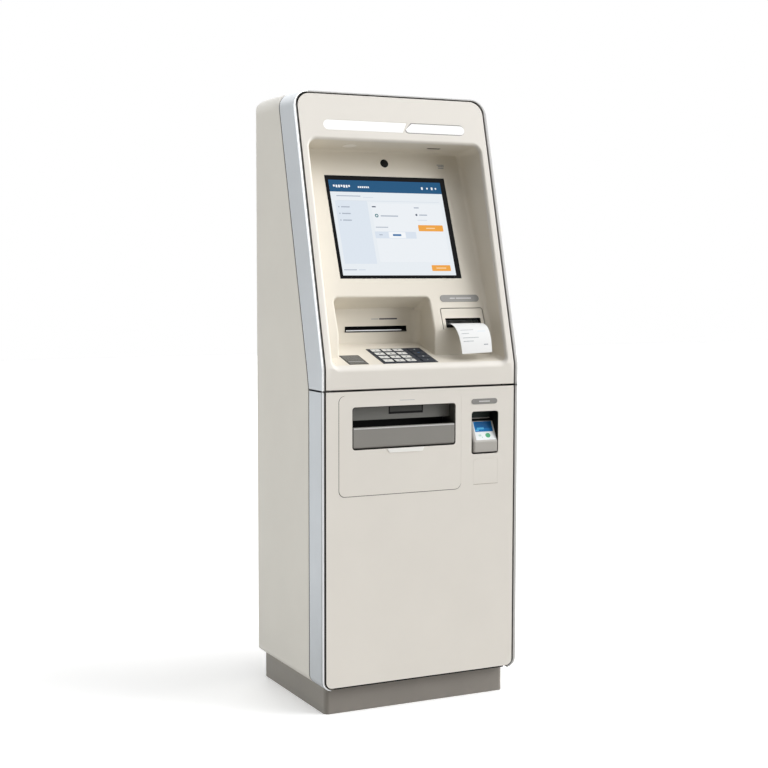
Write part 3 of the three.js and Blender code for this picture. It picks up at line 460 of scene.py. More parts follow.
# ---------- planes that carry details ----------
class Plane:
    """A flat face of the machine: u to the right, v up it and h out of it, in millimetres."""

    def __init__(self, origin, tilt_back=0.0):
        self.origin = Vector(origin)
        self.up = Vector((0, sin(tilt_back), cos(tilt_back)))
        self.out = Vector((0, -cos(tilt_back), sin(tilt_back)))

    def at(self, u, v, h=0.0):
        return tuple(self.origin + Vector((u, 0, 0)) + self.up * v + self.out * h)

    def row(self, loop, h=0.0):
        return [self.at(u, v, h) for u, v in loop]

    def of(self, point):
        offset = Vector(point) / MM - self.origin
        return offset.x, offset.dot(self.up), offset.dot(self.out)


PANEL_PLANE = Plane((0, PANEL_Y, PANEL_Z), PANEL_TILT)
SHELF_PLANE = Plane((0, SHELF_Y, SHELF_Z), QUARTER - SHELF_TILT)
DOOR_PLANE = Plane((0, FRONT + SKIN_DEPTH, 0))


def node_rectangle(node, plane, grow=0.0, depth=4.0):
    """The left, right, low and high edges of a CAD node where it meets a plane."""
    found = [plane.of(v.co) for v in NODES[node].data.vertices]
    near = [p for p in found if abs(p[2]) < depth]
    us, vs = [p[0] for p in near], [p[1] for p in near]
    return min(us) - grow, max(us) + grow, min(vs) - grow, max(vs) + grow


def tile(sheet, plane, left, right, low, high, radius, level, finish=0, thick=0.0):
    """A rounded rectangle at a height above a plane; thick gives it sides down towards the plane."""
    shape = outline(left, right, low, high, max(radius, 0.01), 5 if radius > 0.3 else 1)
    top = plane.row(inset(shape), level)
    if thick:
        edge = min(0.3, thick / 2, (right - left) / 5)
        sides = [plane.row(inset(shape), level - thick), plane.row(inset(shape), level - edge)]
        top = plane.row(inset(shape, edge), level)
        sheet.loft([*sides, top], finish=finish)
    sheet.cap(top, finish)


def tiles(name, body, finishes, slot, plane, *rows):
    """A piece made of tiles on one plane."""
    sheet = Sheet()
    for row in rows:
        tile(sheet, plane, *row)
    sheet.make(name, body, finishes)


def pill(name, body, plane, left, right, low, high, parts, thick=0.9):
    """A grey label with rounded ends and a pale bar where its wording would be."""
    middle = (low + high) / 2
    bars = [(a, b, middle - 1.6, middle + 1.6, 1.2, thick + 0.08, 1) for a, b in parts]
    base = (left, right, low, high, (high - low) / 2.05, thick, 0, thick + 0.4)
    tiles(name, body, [LABEL, PALE_INK_AND_HIGHLIGHT], "grey_plastic", plane, base, *bars)


# ---------- fascia front ----------
MOUTH = {"half": 260, "low": 880.78 - KINK, "high": 611, "radii": (28, 28, 31, 31)}
ARC = 10  # steps round each corner of the mouth and of the back wall
SIGNS = {"left": -207, "right": 210, "split": 34, "low": 627.5, "high": 657, "slant": 7}
FASCIA_RADIUS = 37
FASCIA_TOP_GAP = 6.3
FASCIA_EDGE = 1.2
SKIRT_DEPTH = 9


def mouth_outline(splits=()):
    """The alcove's mouth in the fascia's front."""
    m = MOUTH
    return outline(-m["half"], m["half"], m["low"], m["high"], m["radii"], ARC, splits)


def front_row(loop, depth):
    return [on_front(u, v, depth) for u, v in loop]


def crossing(loop):
    """The same loop with a point added wherever it crosses the kink, at v = 0."""
    made = []
    for n, point in enumerate(loop):
        ahead = loop[(n + 1) % len(loop)]
        made.append(point)
        if point[1] * ahead[1] < 0:
            f = point[1] / (point[1] - ahead[1])
            u = point[0] + f * (ahead[0] - point[0])
            made.append((u, 0.0, ahead[2] * f + point[2] * (1 - f), ahead[3] * f + point[3] * (1 - f)))
    return made


def half_loop(loop, above):
    """The part of a loop above or below the kink. Above it starts at the right-hand crossing, and
    below it at the left-hand one."""
    side = 1 if above else -1
    points = [p for p in loop if p[1] * side >= -1e-9]
    crossings = [n for n, p in enumerate(points) if abs(p[1]) < 1e-9]
    first = (max if above else min)(crossings, key=lambda n: points[n][0])
    return points[first:] + points[:first]


def mouth_rows(loop):
    """Rows from the fascia's surface round the soft lip into the alcove. The lip is larger below."""
    steps = 7
    rows = []
    for k in range(steps + 1):
        row = []
        for u, v, out_u, out_v in loop:
            low = max(0.0, -out_v) ** 1.5
            radius = LIP_RADIUS + LOW_LIP_EXTRA * low
            turn = radians(90 - 16 * low) * k / steps
            reach = radius * sin(turn)
            depth = SKIN_DEPTH + radius * (1 - cos(turn))
            x, s = u - out_u * reach, v - out_v * reach
            leaning, upright = Vector(on_front(x, s, depth)), Vector((x, FRONT + depth, KINK + s))
            row.append(tuple(leaning.lerp(upright, low * k / steps)))
        rows.append(row)
    return rows


def sign_outline(part, grow):
    """The long lens with a round left end, or the short one with a smaller, softer left end."""
    s = SIGNS
    middle, r = (s["low"] + s["high"]) / 2, (s["high"] - s["low"]) / 2 + grow - 0.6
    between = 4.2 - grow
    low_x, high_x = s["split"] - s["slant"], s["split"] + s["slant"]
    if part == "long":
        corners = [(low_x - between, middle - r), (high_x - between, middle + r)]
        return corners + inset(arc(s["left"] + r, middle, r, QUARTER, pi, 8))
    points = [(low_x + between - 1, middle - r + 9)]
    for t in turns(pi, QUARTER, 4):
        points.append((low_x + between + 9 + 9 * cos(t), middle - r + 6 + 6 * sin(t)))
    points += inset(arc(s["right"] - r, middle, r, -QUARTER, pi, 8))
    return points + [(high_x + between + 4, middle + r)]


def fascia_front():
    """The painted front with its soft lip, its outer edge and the two openings for the sign."""
    sheet = Sheet()
    high = (TOP - FASCIA_TOP_GAP - KINK) / cos(LEAN)
    radii = (1, 1, FASCIA_RADIUS, FASCIA_RADIUS)
    edge = crossing(outline(-SIDE, SIDE, SEAM + SEAM_GAP - KINK, high, radii))
    mouth = crossing(mouth_outline())
    outer, inner = inset(edge, FASCIA_EDGE), inset(mouth)
    signs = [sign_outline(part, 1.0) for part in ("long", "short")]
    for above, holes in ((True, signs), (False, [])):
        loop = half_loop(outer, above) + half_loop(inner, above)[::-1]
        sheet.fill([loop, *holes], lambda u, v: on_front(u, v, SKIN_DEPTH))
    sheet.loft(mouth_rows(mouth))
    rows = []
    for by, down in rounding(4):
        rows.append(front_row(inset(edge, FASCIA_EDGE * by), SKIN_DEPTH + FASCIA_EDGE * down))
    sheet.loft(rows)
    # The skirt from the outer edge back into the gap is dark with painted shade.
    sheet.loft([rows[-1], front_row(inset(edge), SKIRT_DEPTH)], finish=1)
    rim = ((1.0, SKIN_DEPTH), (0.6, SKIN_DEPTH + 0.15), (0.4, SKIN_DEPTH + 0.6), (0.4, 6))
    for part in ("long", "short"):
        sheet.loft([front_row(sign_outline(part, grow), depth) for grow, depth in rim])
    sheet.make(
        "fascia_front", "fascia", [PAINT, GAP_SHADE], replaces=["fascia_frame"], angle=30,
    )


def sign_lenses():
    """The two lit lenses, each with a thin rim round it."""
    for part, node, rim_finish, rim in (
        ("long", "sign_lens_left", PAINT, 0.6), ("short", "sign_lens_right", LABEL, 1.8),
    ):
        sheet = Sheet()
        inner = -rim - 0.8
        levels = ((0.3, 8.0), (0.3, 1.9), (0.1, 1.7), (-rim, 1.7), (-rim, 1.75), (inner, 1.6))
        rows = [front_row(sign_outline(part, grow), depth) for grow, depth in levels]
        sheet.loft(rows[:5])
        sheet.loft(rows[4:], finish=1)
        sheet.fill([sign_outline(part, inner)], lambda u, v: on_front(u, v, 1.6), finish=1)
        sheet.make(
            node + "_lit", "fascia", [rim_finish, LENS], replaces=[node], angle=30,
        )


# ---------- alcove ----------
BACK_WALL = {"half": 242.5, "foot": -91, "high": 483.5, "radii": (5, 5, 14, 14)}
EYE_HEIGHT, EYE_RADIUS = 450, 12
NOTCH = {"left": -205, "right": 72, "high": 68, "radius": 12, "lip": 5, "back": -58, "ceiling": 1037.5}
PRINTER_HOLE = (99, 229, -23.3, 36.5)
SIDE_CREASE, TOP_CREASE = 11, 5
POCKET_BACK = Plane((0, NOTCH["back"], 0))


def wall_half(t):
    """Half the width of the back wall at t: the side walls draw together towards the top."""
    return BACK_WALL["half"] + 2.2 - 3.6 * (t - BACK_WALL["foot"]) / 575


def back_loop():
    """The back wall's outline, with points at the bend and at some heights up its sides."""
    w = BACK_WALL
    foot, high = w["foot"] + w["radii"][0], w["high"] - w["radii"][2]
    splits = ((PANEL_FOOT - foot) / (high - foot), 0.35, 0.6, 0.8)
    raw = outline(-w["half"], w["half"], w["foot"], w["high"], w["radii"], ARC, splits)
    return [(u * wall_half(v) / w["half"], v, a, b) for u, v, a, b in raw]


def crease(out_u, out_v):
    """The radius of the crease between the back wall and its side walls or ceiling."""
    return SIDE_CREASE * abs(out_u) ** 2 + TOP_CREASE * max(0, out_v) ** 2


def alcove_liner():
    """The side walls, ceiling, shelf and back wall in one moulding with soft corners."""
    sheet = Sheet()
    front = mouth_rows(mouth_outline((0.118, 0.35, 0.6, 0.8)))[-1]
    back = back_loop()
    rows = []
    for height, inward in rounding(6):
        row = []
        for u, v, a, b in back:
            r = crease(a, b)
            row.append(on_panel(u - a * r * inward, v - b * r * inward, r * height))
        rows.append(row)
    # The flat shelf is the one side of the loft that is left out, between the two low corners.
    order = list(range(ARC + 1, len(back))) + list(range(ARC + 1))
    near = [front[n] for n in order]
    far = [rows[0][n] for n in order]
    middle = []
    for f in (0.33, 0.67):
        middle.append([tuple(a + (b - a) * f for a, b in zip(p, q)) for p, q in zip(near, far)])
    sheet.loft([near, *middle, far], closed=False)
    sheet.loft([[row[n] for n in order] for row in rows], closed=False)
    back_wall(sheet, back)
    shelf_top(sheet, front[ARC], front[ARC + 1], rows[0][ARC + 1], rows[0][ARC])
    sheet.make(
        "alcove_liner", "fascia", [ALCOVE_SHADED_PAINT],
        replaces=["recess_walls", "display_panel", "cash_alcove", "keypad_shelf"], angle=30,
    )


def notch_loop(lip=0.0):
    """The pocket's mouth, open below, from its low left end round to its low right end."""
    n = NOTCH
    left, right, high, r = n["left"] - lip, n["right"] + lip, n["high"] + lip, n["radius"] + lip
    points = [(left, BACK_WALL["foot"], -1, 0), (left, PANEL_FOOT, -1, 0)]
    points += arc(left + r, high - r, r, pi, -QUARTER, 6)
    points += arc(right - r, high - r, r, QUARTER, -QUARTER, 6)
    return points + [(right, PANEL_FOOT, 1, 0), (right, BACK_WALL["foot"], 1, 0)]


def back_wall(sheet, back):
    """The flat of the back wall: one part above the bend, and one each side of the pocket below it."""
    inner = [(u - a * crease(a, b), v - b * crease(a, b)) for u, v, a, b in back]
    bend = PANEL_FOOT
    upper = [p for p in inner if p[1] >= bend - 1e-6]
    first = min(range(len(upper)), key=lambda n: (abs(upper[n][1] - bend), -upper[n][0]))
    upper = upper[first:] + upper[:first]
    notch = [p for p in inset(notch_loop(NOTCH["lip"])) if p[1] >= bend - 1e-6]
    glass = rectangle(*node_rectangle("touch_glass", PANEL_PLANE, 0.3))
    eye_left, eye_right = [corner[0] for corner in box_mm("camera_lens")]
    eye = ellipse((eye_left + eye_right) / 2, EYE_HEIGHT, EYE_RADIUS, EYE_RADIUS, 32)
    printer = inset(outline(*PRINTER_HOLE, (0.1, 0.1, 7, 7), 4))
    sheet.fill([upper + notch, glass, eye, printer], on_panel)
    for side, edge in ((-1, NOTCH["left"] - NOTCH["lip"]), (1, NOTCH["right"] + NOTCH["lip"])):
        part = sorted((p for p in inner if p[1] <= bend + 1e-6 and p[0] * side > 0), key=lambda p: -p[1])
        sheet.fill([part + [(edge, BACK_WALL["foot"]), (edge, bend)]], on_panel)


def shelf_top(sheet, near_left, near_right, far_right, far_left):
    """The sloping shelf between four corners, and its tongue into the pocket."""
    def up_slope(y):
        return (y - SHELF_Y) / cos(SHELF_TILT)

    fold, rear = up_slope(COLUMN_FOOT) + 1, up_slope(NOTCH["back"]) + 4
    left, right = NOTCH["left"] - 6, NOTCH["right"] + 6
    loop = [
        (near_left[0], up_slope(near_left[1])), (near_right[0], up_slope(near_right[1])),
        (far_right[0], fold), (right, fold), (right, rear), (left, rear), (left, fold), (far_left[0], fold),
    ]
    set_in = ("keypad_frame", "reader_plate")
    holes = [rectangle(*node_rectangle(node, SHELF_PLANE, 0.3)) for node in set_in]
    sheet.fill([loop, *holes], SHELF_PLANE.at)


def cash_pocket():
    """The pocket behind the back wall: soft mouth, side walls, ceiling and back with round corners."""
    sheet = Sheet()
    lip, back_y, ceiling, high = NOTCH["lip"], NOTCH["back"], NOTCH["ceiling"], NOTCH["high"]
    foot = BACK_WALL["foot"]
    side_radius, top_radius = 24, 3
    loop = notch_loop()
    rows = []
    for out, depth in rounding(5):
        rows.append([on_panel(u + a * lip * out, v + b * lip * out, -lip * depth) for u, v, a, b in loop])
    for near, inward in rounding(7):
        row = []
        for u, v, a, b in loop:
            radius = side_radius * abs(a) ** 1.5 + top_radius * max(0, b) ** 2
            y = back_y - radius * near
            floor = shelf_height(y) - 2
            z = floor + (v - foot) / (high - foot) * (ceiling - floor)
            row.append((u - a * radius * inward, y, z - max(0, b) * radius * inward))
        rows.append(row)
    sheet.loft(rows, closed=False)
    (left, _, low), (right, _, top) = box_mm("slot_bezel")
    slot = rectangle(left + 5.8, right - 5.8, low + 3.8, top - 3.8)
    sheet.fill([[(x, z) for x, _, z in rows[-1]], slot], POCKET_BACK.at)
    sheet.make("cash_pocket", "fascia", [ALCOVE_SHADED_PAINT], angle=30)


# ---------- silver trim ----------
TRIM_DEPTH, TRIM_TOP_DEPTH = 85.5, 99
TRIM_WIDTH, TRIM_FOOT_WIDTH, TOP_NARROWING = 8.0, 3.0, 4.0
TRIM_NOSE = 2.0
TRIM_RADIUS, TRIM_FOOT_RADIUS = 43, 27
FOOT_STEPS = 10
BEND_HEIGHT = 60  # over which the rear edge turns from upright to leaning


def band_rear(z):
    """The y of the trim band's rear edge."""
    low_y = FRONT + TRIM_DEPTH
    bend_y = FRONT + TOP_SETBACK + TRIM_TOP_DEPTH - (TOP - KINK) * tan(LEAN)
    if z <= KINK - BEND_HEIGHT:
        return low_y
    if z <= KINK:
        return low_y + (bend_y - low_y) * (z - KINK + BEND_HEIGHT) / BEND_HEIGHT
    return bend_y + (z - KINK) * tan(LEAN)


def mirrored(path):
    return [(-x, z, -a, b) for x, z, a, b in path]


def trim_path(low, upper):
    """Points up the right leg and down the left one for the upper trim, or down the right leg and
    round its foot for the lower one, as x, z, outward x, outward z."""
    if upper:
        heights = [low, KINK - 60, KINK - 30, KINK - 8, KINK, KINK + 8, 1000, 1200, 1400]
        r = TRIM_RADIUS
        corner = arc(HALF_WIDTH - r, TOP - r, r, 0, QUARTER, 12)
    else:
        heights = [SEAM - SEAM_GAP, 800, 600, 400, 200]
        r = TRIM_FOOT_RADIUS
        corner = arc(HALF_WIDTH - r, low + r, r, 0, -radians(84), FOOT_STEPS)
    path = [(HALF_WIDTH, z, 1, 0) for z in heights] + corner
    return path + mirrored(path[::-1]) if upper else path


def trim_rows(path, upper):
    """The trim's section at each point of a path: back edge, side face, round nose, front face, inside.
    The front face is narrower along the top, and thins out round the foot."""
    nose = TRIM_NOSE
    rows = []
    for n, (x, z, a, b) in enumerate(path):
        wide = TRIM_WIDTH - TOP_NARROWING * max(0.0, b) ** 1.2
        late = n - len(path) + FOOT_STEPS + 1
        if late >= 0 and not upper:
            wide = TRIM_WIDTH - (TRIM_WIDTH - TRIM_FOOT_WIDTH) * late / FOOT_STEPS
        # Each point is its distance in from the side, its depth or None at the rear, and its step ahead.
        section = [(3.0, None, 0), (0.7, None, 0), (0.7, None, 4.6), (0.0, None, 4.8)]
        section += [(0.0, 40.0, 0), (0.0, 12.0, 0), (0.0, nose + 2.6, 0)]
        for turn in turns(0, QUARTER, 4):
            section.append((nose - nose * cos(turn), nose - nose * sin(turn), 0))
        bright = nose + 0.45 * (wide - nose)
        section += [(bright, 0.0, 0), (wide - 0.9, 0.0, 0), (wide - 0.25, 0.25, 0), (wide, 0.9, 0)]
        section.append((wide, 12.0 - 7.5 * max(0.0, b) ** 2, 0))
        row = []
        for across, depth, ahead in section:
            px, pz = x - a * across, z - b * across
            row.append((px, band_rear(pz) - ahead if depth is None else front_y(pz, depth), pz))
        rows.append(row)
    return rows


def trim(name, node, low, upper):
    """One trim piece: satin side faces, a painted highlight on the front edge of its left-hand runs, and
    painted shade on the faces towards the seams.
    """
    sheet = Sheet()
    right = trim_path(low, upper)
    middle = len(right) // 2
    side, painted_highlight, dark, grey, satin = range(5)
    groove = side if upper else grey
    # Each run of the trim has finishes for its front face, the strip beside it and its inner wall.
    # The left-hand runs carry the painted highlight and painted shade; the right-hand runs stay satin.
    if upper:
        runs = [(right[:middle + 1], satin, satin, satin), (right[middle:], painted_highlight, grey, grey)]
    else:
        runs = [(right, satin, satin, satin), (mirrored(right), painted_highlight, dark, dark)]
    for path, outer, strip, inside in runs:
        rows = trim_rows(path, upper)
        columns = [list(column) for column in zip(*rows)]
        finishes = [side, dark, dark, side, side, side, groove, side, side]
        finishes += [outer, outer, outer, strip, strip if outer == satin else inside, inside, inside]
        for n in range(len(columns) - 1):
            sheet.loft([columns[n], columns[n + 1]], closed=False, finish=finishes[n])
        for end in (rows[0], rows[-1]):
            if not upper or abs(end[0][2] - low) < 1:
                sheet.cap(end, dark)
    # The second finish is the painted highlight, the third and fourth are painted shade.
    finishes = [ALUMINIUM, EDGE_HIGHLIGHT if upper else BRUSHED_AND_HIGHLIGHT, GAP_SHADE, EDGE_GREY_AND_SHADE, SATIN]
    sheet.make(name, "cabinet", finishes, replaces=[node], angle=40)


# ---------- display ----------
UI = {
    "header": (0.010, 0.088, 0.205), "page": (0.80, 0.845, 0.885), "column": (0.72, 0.785, 0.86),
    "field": (0.69, 0.76, 0.85), "bar": (0.40, 0.45, 0.53), "dark": (0.06, 0.08, 0.13),
    "orange": (0.86, 0.37, 0.055), "white": (0.90, 0.925, 0.95), "line": (0.62, 0.68, 0.76),
    "blue": (0.04, 0.17, 0.38), "teal": (0.03, 0.17, 0.19), "peach": (0.97, 0.66, 0.36),
    "panel": (0.835, 0.87, 0.905),
}
# The parts of the lit picture: colour, left, right, top and foot as shares of it, layer and radius.
PICTURE = [
    ("page", 0, 1, 0, 1, 0, 0), ("header", 0, 1, 0, 0.125, 1, 0),
    ("bar", 0.05, 0.26, 0.163, 0.173, 2, 0.8), ("line", 0.28, 0.37, 0.178, 0.183, 2, 0),
    ("line", 0.05, 0.96, 0.216, 0.219, 2, 0), ("column", 0.03, 0.31, 0.22, 0.88, 1, 0),
    ("panel", 0.34, 0.97, 0.24, 0.86, 1, 0), ("dark", 0.345, 0.38, 0.272, 0.284, 2, 0.8),
    ("bar", 0.41, 0.565, 0.368, 0.380, 2, 0.8), ("bar", 0.35, 0.46, 0.490, 0.499, 2, 0.8),
    ("field", 0.335, 0.70, 0.54, 0.612, 2, 1.5), ("bar", 0.37, 0.40, 0.570, 0.580, 3, 0.8),
    ("white", 0.455, 0.605, 0.545, 0.607, 3, 1.5), ("blue", 0.49, 0.565, 0.566, 0.586, 4, 1.0),
    ("bar", 0.72, 0.765, 0.275, 0.287, 2, 0.8), ("bar", 0.758, 0.83, 0.352, 0.364, 2, 0.8),
    ("line", 0.735, 0.82, 0.410, 0.417, 2, 0.6), ("orange", 0.73, 0.955, 0.466, 0.532, 2, 2.0),
    ("peach", 0.80, 0.88, 0.494, 0.506, 3, 0.8), ("orange", 0.79, 0.96, 0.893, 0.955, 2, 2.0),
    ("peach", 0.83, 0.92, 0.918, 0.930, 3, 0.8), ("bar", 0.015, 0.125, 0.938, 0.947, 2, 0.8),
    ("line", 0.14, 0.20, 0.938, 0.947, 2, 0.8),
    ("white", 0.817, 0.833, 0.055, 0.082, 2, 1.0), ("white", 0.907, 0.923, 0.055, 0.082, 2, 1.0),
]
for k in range(7):
    PICTURE.append(("white", 0.035 + 0.022 * k, 0.05 + 0.022 * k, 0.052, 0.08 if k % 3 else 0.072, 2, 0.6))
PICTURE += [("white", 0.25 + 0.017 * k, 0.262 + 0.017 * k, 0.062, 0.08, 2, 0.5) for k in range(6)]
for x0, x1 in ((0.05, 0.062), (0.075, 0.15)):
    PICTURE += [("bar", x0, x1, y - 0.006, y + 0.006, 2, 0.8) for y in (0.285, 0.355, 0.425)]
# Its round parts: colour, x and y as shares of the picture, and the outer and inner radius.
ROUNDS = (
    ("white", 0.872, 0.068, 2.6, 0), ("white", 0.95, 0.068, 2.6, 0), ("teal", 0.375, 0.372, 5.2, 2.6),
    ("dark", 0.733, 0.357, 3.0, 0),
)
LAYERS = 0.62  # from the panel's plane up to the picture's lowest layer, just above the glass
LAYER = 0.05


def display():
    """The lit picture on the touch glass: a generic layout of panels, bars and buttons."""
    left, right, low, high = node_rectangle("touch_glass", PANEL_PLANE)
    left, right, low, high = left + 9, right - 15, low + 8.5, high - 13
    wide, tall = right - left, high - low
    names = list(UI)
    sheet = Sheet()
    for colour, x0, x1, y0, y1, layer, radius in PICTURE:
        place = (left + x0 * wide, left + x1 * wide, high - y1 * tall, high - y0 * tall)
        tile(sheet, PANEL_PLANE, *place, radius, LAYERS + LAYER * layer, names.index(colour))
    for colour, x, y, outer, inner in ROUNDS:
        loops = [ellipse(left + x * wide, high - y * tall, r, r, 20) for r in (outer, inner)]
        disc, hole = [PANEL_PLANE.row(loop, LAYERS + 2 * LAYER) for loop in loops]
        if inner:
            sheet.loft([disc, hole], finish=names.index(colour))
        else:
            sheet.cap(disc, names.index(colour))
    colours = [screen_colour(name, UI[name]) for name in names]
    sheet.make("display_picture", "fascia", colours, smooth=False)


# ---------- details of the fascia ----------
PLATE_TOP = 1.0


def fascia_details():
    """Labels and small marks on the back wall, in the pocket and on the reader plate."""
    pill("printer_label", "fascia", PANEL_PLANE, 105, 223, 53.5, 73, ((134, 150), (153, 199)))
    bars = ((450.5, 167, 189), (446.2, 170, 189), (441.2, 170, 187))
    rows = [(a, b, v - 1.1, v + 1.1, 1.0, 0.12) for v, a, b in bars]
    tiles("speaker_marks", "fascia", [INK], "body_paint", PANEL_PLANE, *rows)
    tiles(
        "slot_label", "fascia", [DARK_INK, INK], "body_paint", POCKET_BACK,
        (-43, 10, 1006, 1009.5, 0.8, 0.15), (-67, -45, 1007, 1008.5, 0.6, 0.15, 1),
    )
    left, right, low, high = node_rectangle("reader_plate", SHELF_PLANE)
    step = (high - low) / 4
    tiles(
        "reader_window", "fascia", [WINDOW, PALE_INK_AND_HIGHLIGHT], "grey_plastic", SHELF_PLANE,
        (left + 3, right - 3, low + 3, low + step, 1.0, PLATE_TOP),
        (left + 5, right - 5, low + step * 1.1, low + step * 1.3, 0.8, PLATE_TOP, 1),
        (left + 3, right - 3, low + step * 1.5, high - 4, 1.0, PLATE_TOP),
    )


def ceiling_details():
    """A round light and a vent in the alcove's ceiling: a black slot in a surround of painted shade."""
    near_y, near_z = on_slope(603, 12.3)
    _, back_y, back_z = on_panel(0, 485)
    tilt = atan2(near_z - back_z, back_y - near_y)
    ceiling = Plane((0, near_y, near_z), QUARTER + tilt)
    ceiling.out = -ceiling.out if ceiling.out.z > 0 else ceiling.out
    ceiling.up = Vector((0, cos(tilt), -sin(tilt)))
    outer, inner = [ellipse(-112, 44, r, r * 0.9, 32) for r in (22, 19)]
    light = Sheet()
    light.loft([ceiling.row(outer, -0.5), ceiling.row(outer, 1.0), ceiling.row(inner, 1.0)])
    light.loft([ceiling.row(inner, -0.5), ceiling.row(inner, 0.6)], finish=1)
    light.cap(ceiling.row(inner, 0.6), 1)
    light.make("ceiling_light", "fascia", [ALCOVE_SHADED_PAINT, EYELID])
    tiles(
        "ceiling_vent", "fascia", [BEIGE_DARK, BLACK_AND_SHADOW], "black_plastic", ceiling,
        (117, 158, 35, 45, 3, 0.4, 0, 0.6), (119, 156, 36.5, 43, 1.2, 0.5, 1),
    )


def receipt_slip():
    """The printed slip: it curls out and down, its left edge a little forward, with faint printed lines."""
    left, right = [corner[0] for corner in box_mm("receipt_paper")]
    wide = right - left
    _, y0, z0 = PANEL_PLANE.at(0, -4, -20)
    a, b, c, d = [Vector(p) for p in ((y0, z0), (y0 - 46, z0 + 12), (-209, 992), (-213, 920))]

    def place(across, t, lift):
        """The point across the slip, from 0 to 1, and along it, with its offset from the paper."""
        point = a * (1 - t) ** 3 + b * 3 * t * (1 - t) ** 2 + c * 3 * t * t * (1 - t) + d * t**3
        along = (b - a) * 3 * (1 - t) ** 2 + (c - b) * 6 * t * (1 - t) + (d - c) * 3 * t * t
        along.normalize()
        out = Vector((along.y, -along.x))
        side, late = 2 * across - 1, t * t
        point = point + out * (lift + 1.4 * (1 - side * side) * min(1, 1.4 * t))
        x = left + wide * across * (1 - 0.015 * late) + 6 * late
        return (x, point.x + 7.5 * side * late, point.y + side * late)

    slip = Sheet()
    for lift in (0.12, -0.12):
        slip.loft([[place(k / 12, n / 40, lift) for k in range(13)] for n in range(41)], closed=False)
    slip.make("receipt_slip", "fascia", [SLIP_PAPER_SHADED], replaces=["receipt_paper"], angle=60)
    print_lines = (
        (0.60, 0.10, 0.50, 0), (0.685, 0.10, 0.33, 0), (0.64, 0.62, 0.86, 2), (0.77, 0.10, 0.60, 0),
        (0.83, 0.10, 0.42, 0), (0.89, 0.74, 0.88, 1),
    )
    printed = Sheet()
    for t, start, end, finish in print_lines:
        edges = (t - 0.007, t + 0.007)
        rows = [[place(start + (end - start) * k / 8, f, 0.24) for k in range(9)] for f in edges]
        printed.loft(rows, closed=False, finish=finish)
    printed.make("receipt_print", "fascia", [FADED_INK, INK, FAINT_PRINT])


def slot_fronts():
    """The printer's front with its black throat, and the bright lip of the cash slot."""
    left, right, low, high = PRINTER_HOLE
    plate = outline(left + 1.8, right - 1.8, low + 0.5, high - 1.8, (0.3, 0.3, 5.4, 5.4), 5)
    slot = outline(110, 217, -19, 7.5, 1.5, 3)

    def panel_row(loop, h):
        return [on_panel(u, v, h) for u, v in loop]

    edge = inset(plate, 0.5)
    front = Sheet()
    front.fill([edge, inset(slot)], on_panel)
    levels = ((0.5, 0), (0.15, -0.15), (0, -0.6), (0, -3))
    front.loft([panel_row(inset(plate, by), h) for by, h in levels])
    throat = ((0, 0.0), (0.4, -0.4), (0.4, -14))
    front.loft([panel_row(inset(slot, by), h) for by, h in throat], finish=1)
    front.make(
        "printer_front", "fascia", [ALCOVE_SHADED_PAINT, BLACK_AND_SHADOW], replaces=["printer_bezel"],
    )
    (a, _, foot), (b, _, _) = box_mm("slot_bezel")
    tiles(
        "slot_lip", "fascia", [BRUSHED_AND_HIGHLIGHT, EDGE_GREY_AND_SHADE], "silver_trim", POCKET_BACK,
        (a + 8, b - 22, foot + 5.2, foot + 8, 0.5, 3.25, 0, 0.6),
        (a + 5.4, b - 5.4, foot + 1.4, foot + 4.4, 0.5, 0.4, 1, 0.6),
    )


def keypad_marks():
    """Numbers on the keys, and small signs on the function keys."""
    for n, text in enumerate("123456789*0#", 1):
        write(f"key_mark_{n}", text, f"key_{n}", 9.5, DARK_INK)
    for n, text in enumerate("x<o-", 1):
        finish = STICKER_BLUE if text == "<" else STICKER_WHITE
        write(f"function_mark_{n}", text, f"function_key_{n}", 10, finish)


def write(name, text, key, size, finish):
    """One raised character in the middle of a key's top."""
    curve = bpy.data.curves.new(name, "FONT")
    curve.body, curve.size, curve.extrude = text, size * MM, 0.06 * MM
    curve.align_x, curve.align_y = "CENTER", "CENTER"
    curve.resolution_u = 2
    curve.offset = 0.2 * MM
    shape = add_object(name + "_text", curve)
    bpy.context.view_layer.update()
    mesh = bpy.data.meshes.new_from_object(shape.evaluated_get(bpy.context.evaluated_depsgraph_get()))
    bpy.data.objects.remove(shape)
    left, right, low, high = node_rectangle(key, SHELF_PLANE, depth=9)
    top = max(SHELF_PLANE.of(v.co)[2] for v in NODES[key].data.vertices)
    centre = Vector(SHELF_PLANE.at((left + right) / 2, (low + high) / 2, top + 0.05)) * MM
    turn = Matrix((Vector((1, 0, 0)), SHELF_PLANE.up, SHELF_PLANE.out)).transposed().to_4x4()
    mesh.transform(Matrix.Translation(centre) @ turn)
    mesh.materials.append(finish)
    mesh.name = name
    made = add_object(name, mesh)
    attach(made, key + "_cap")


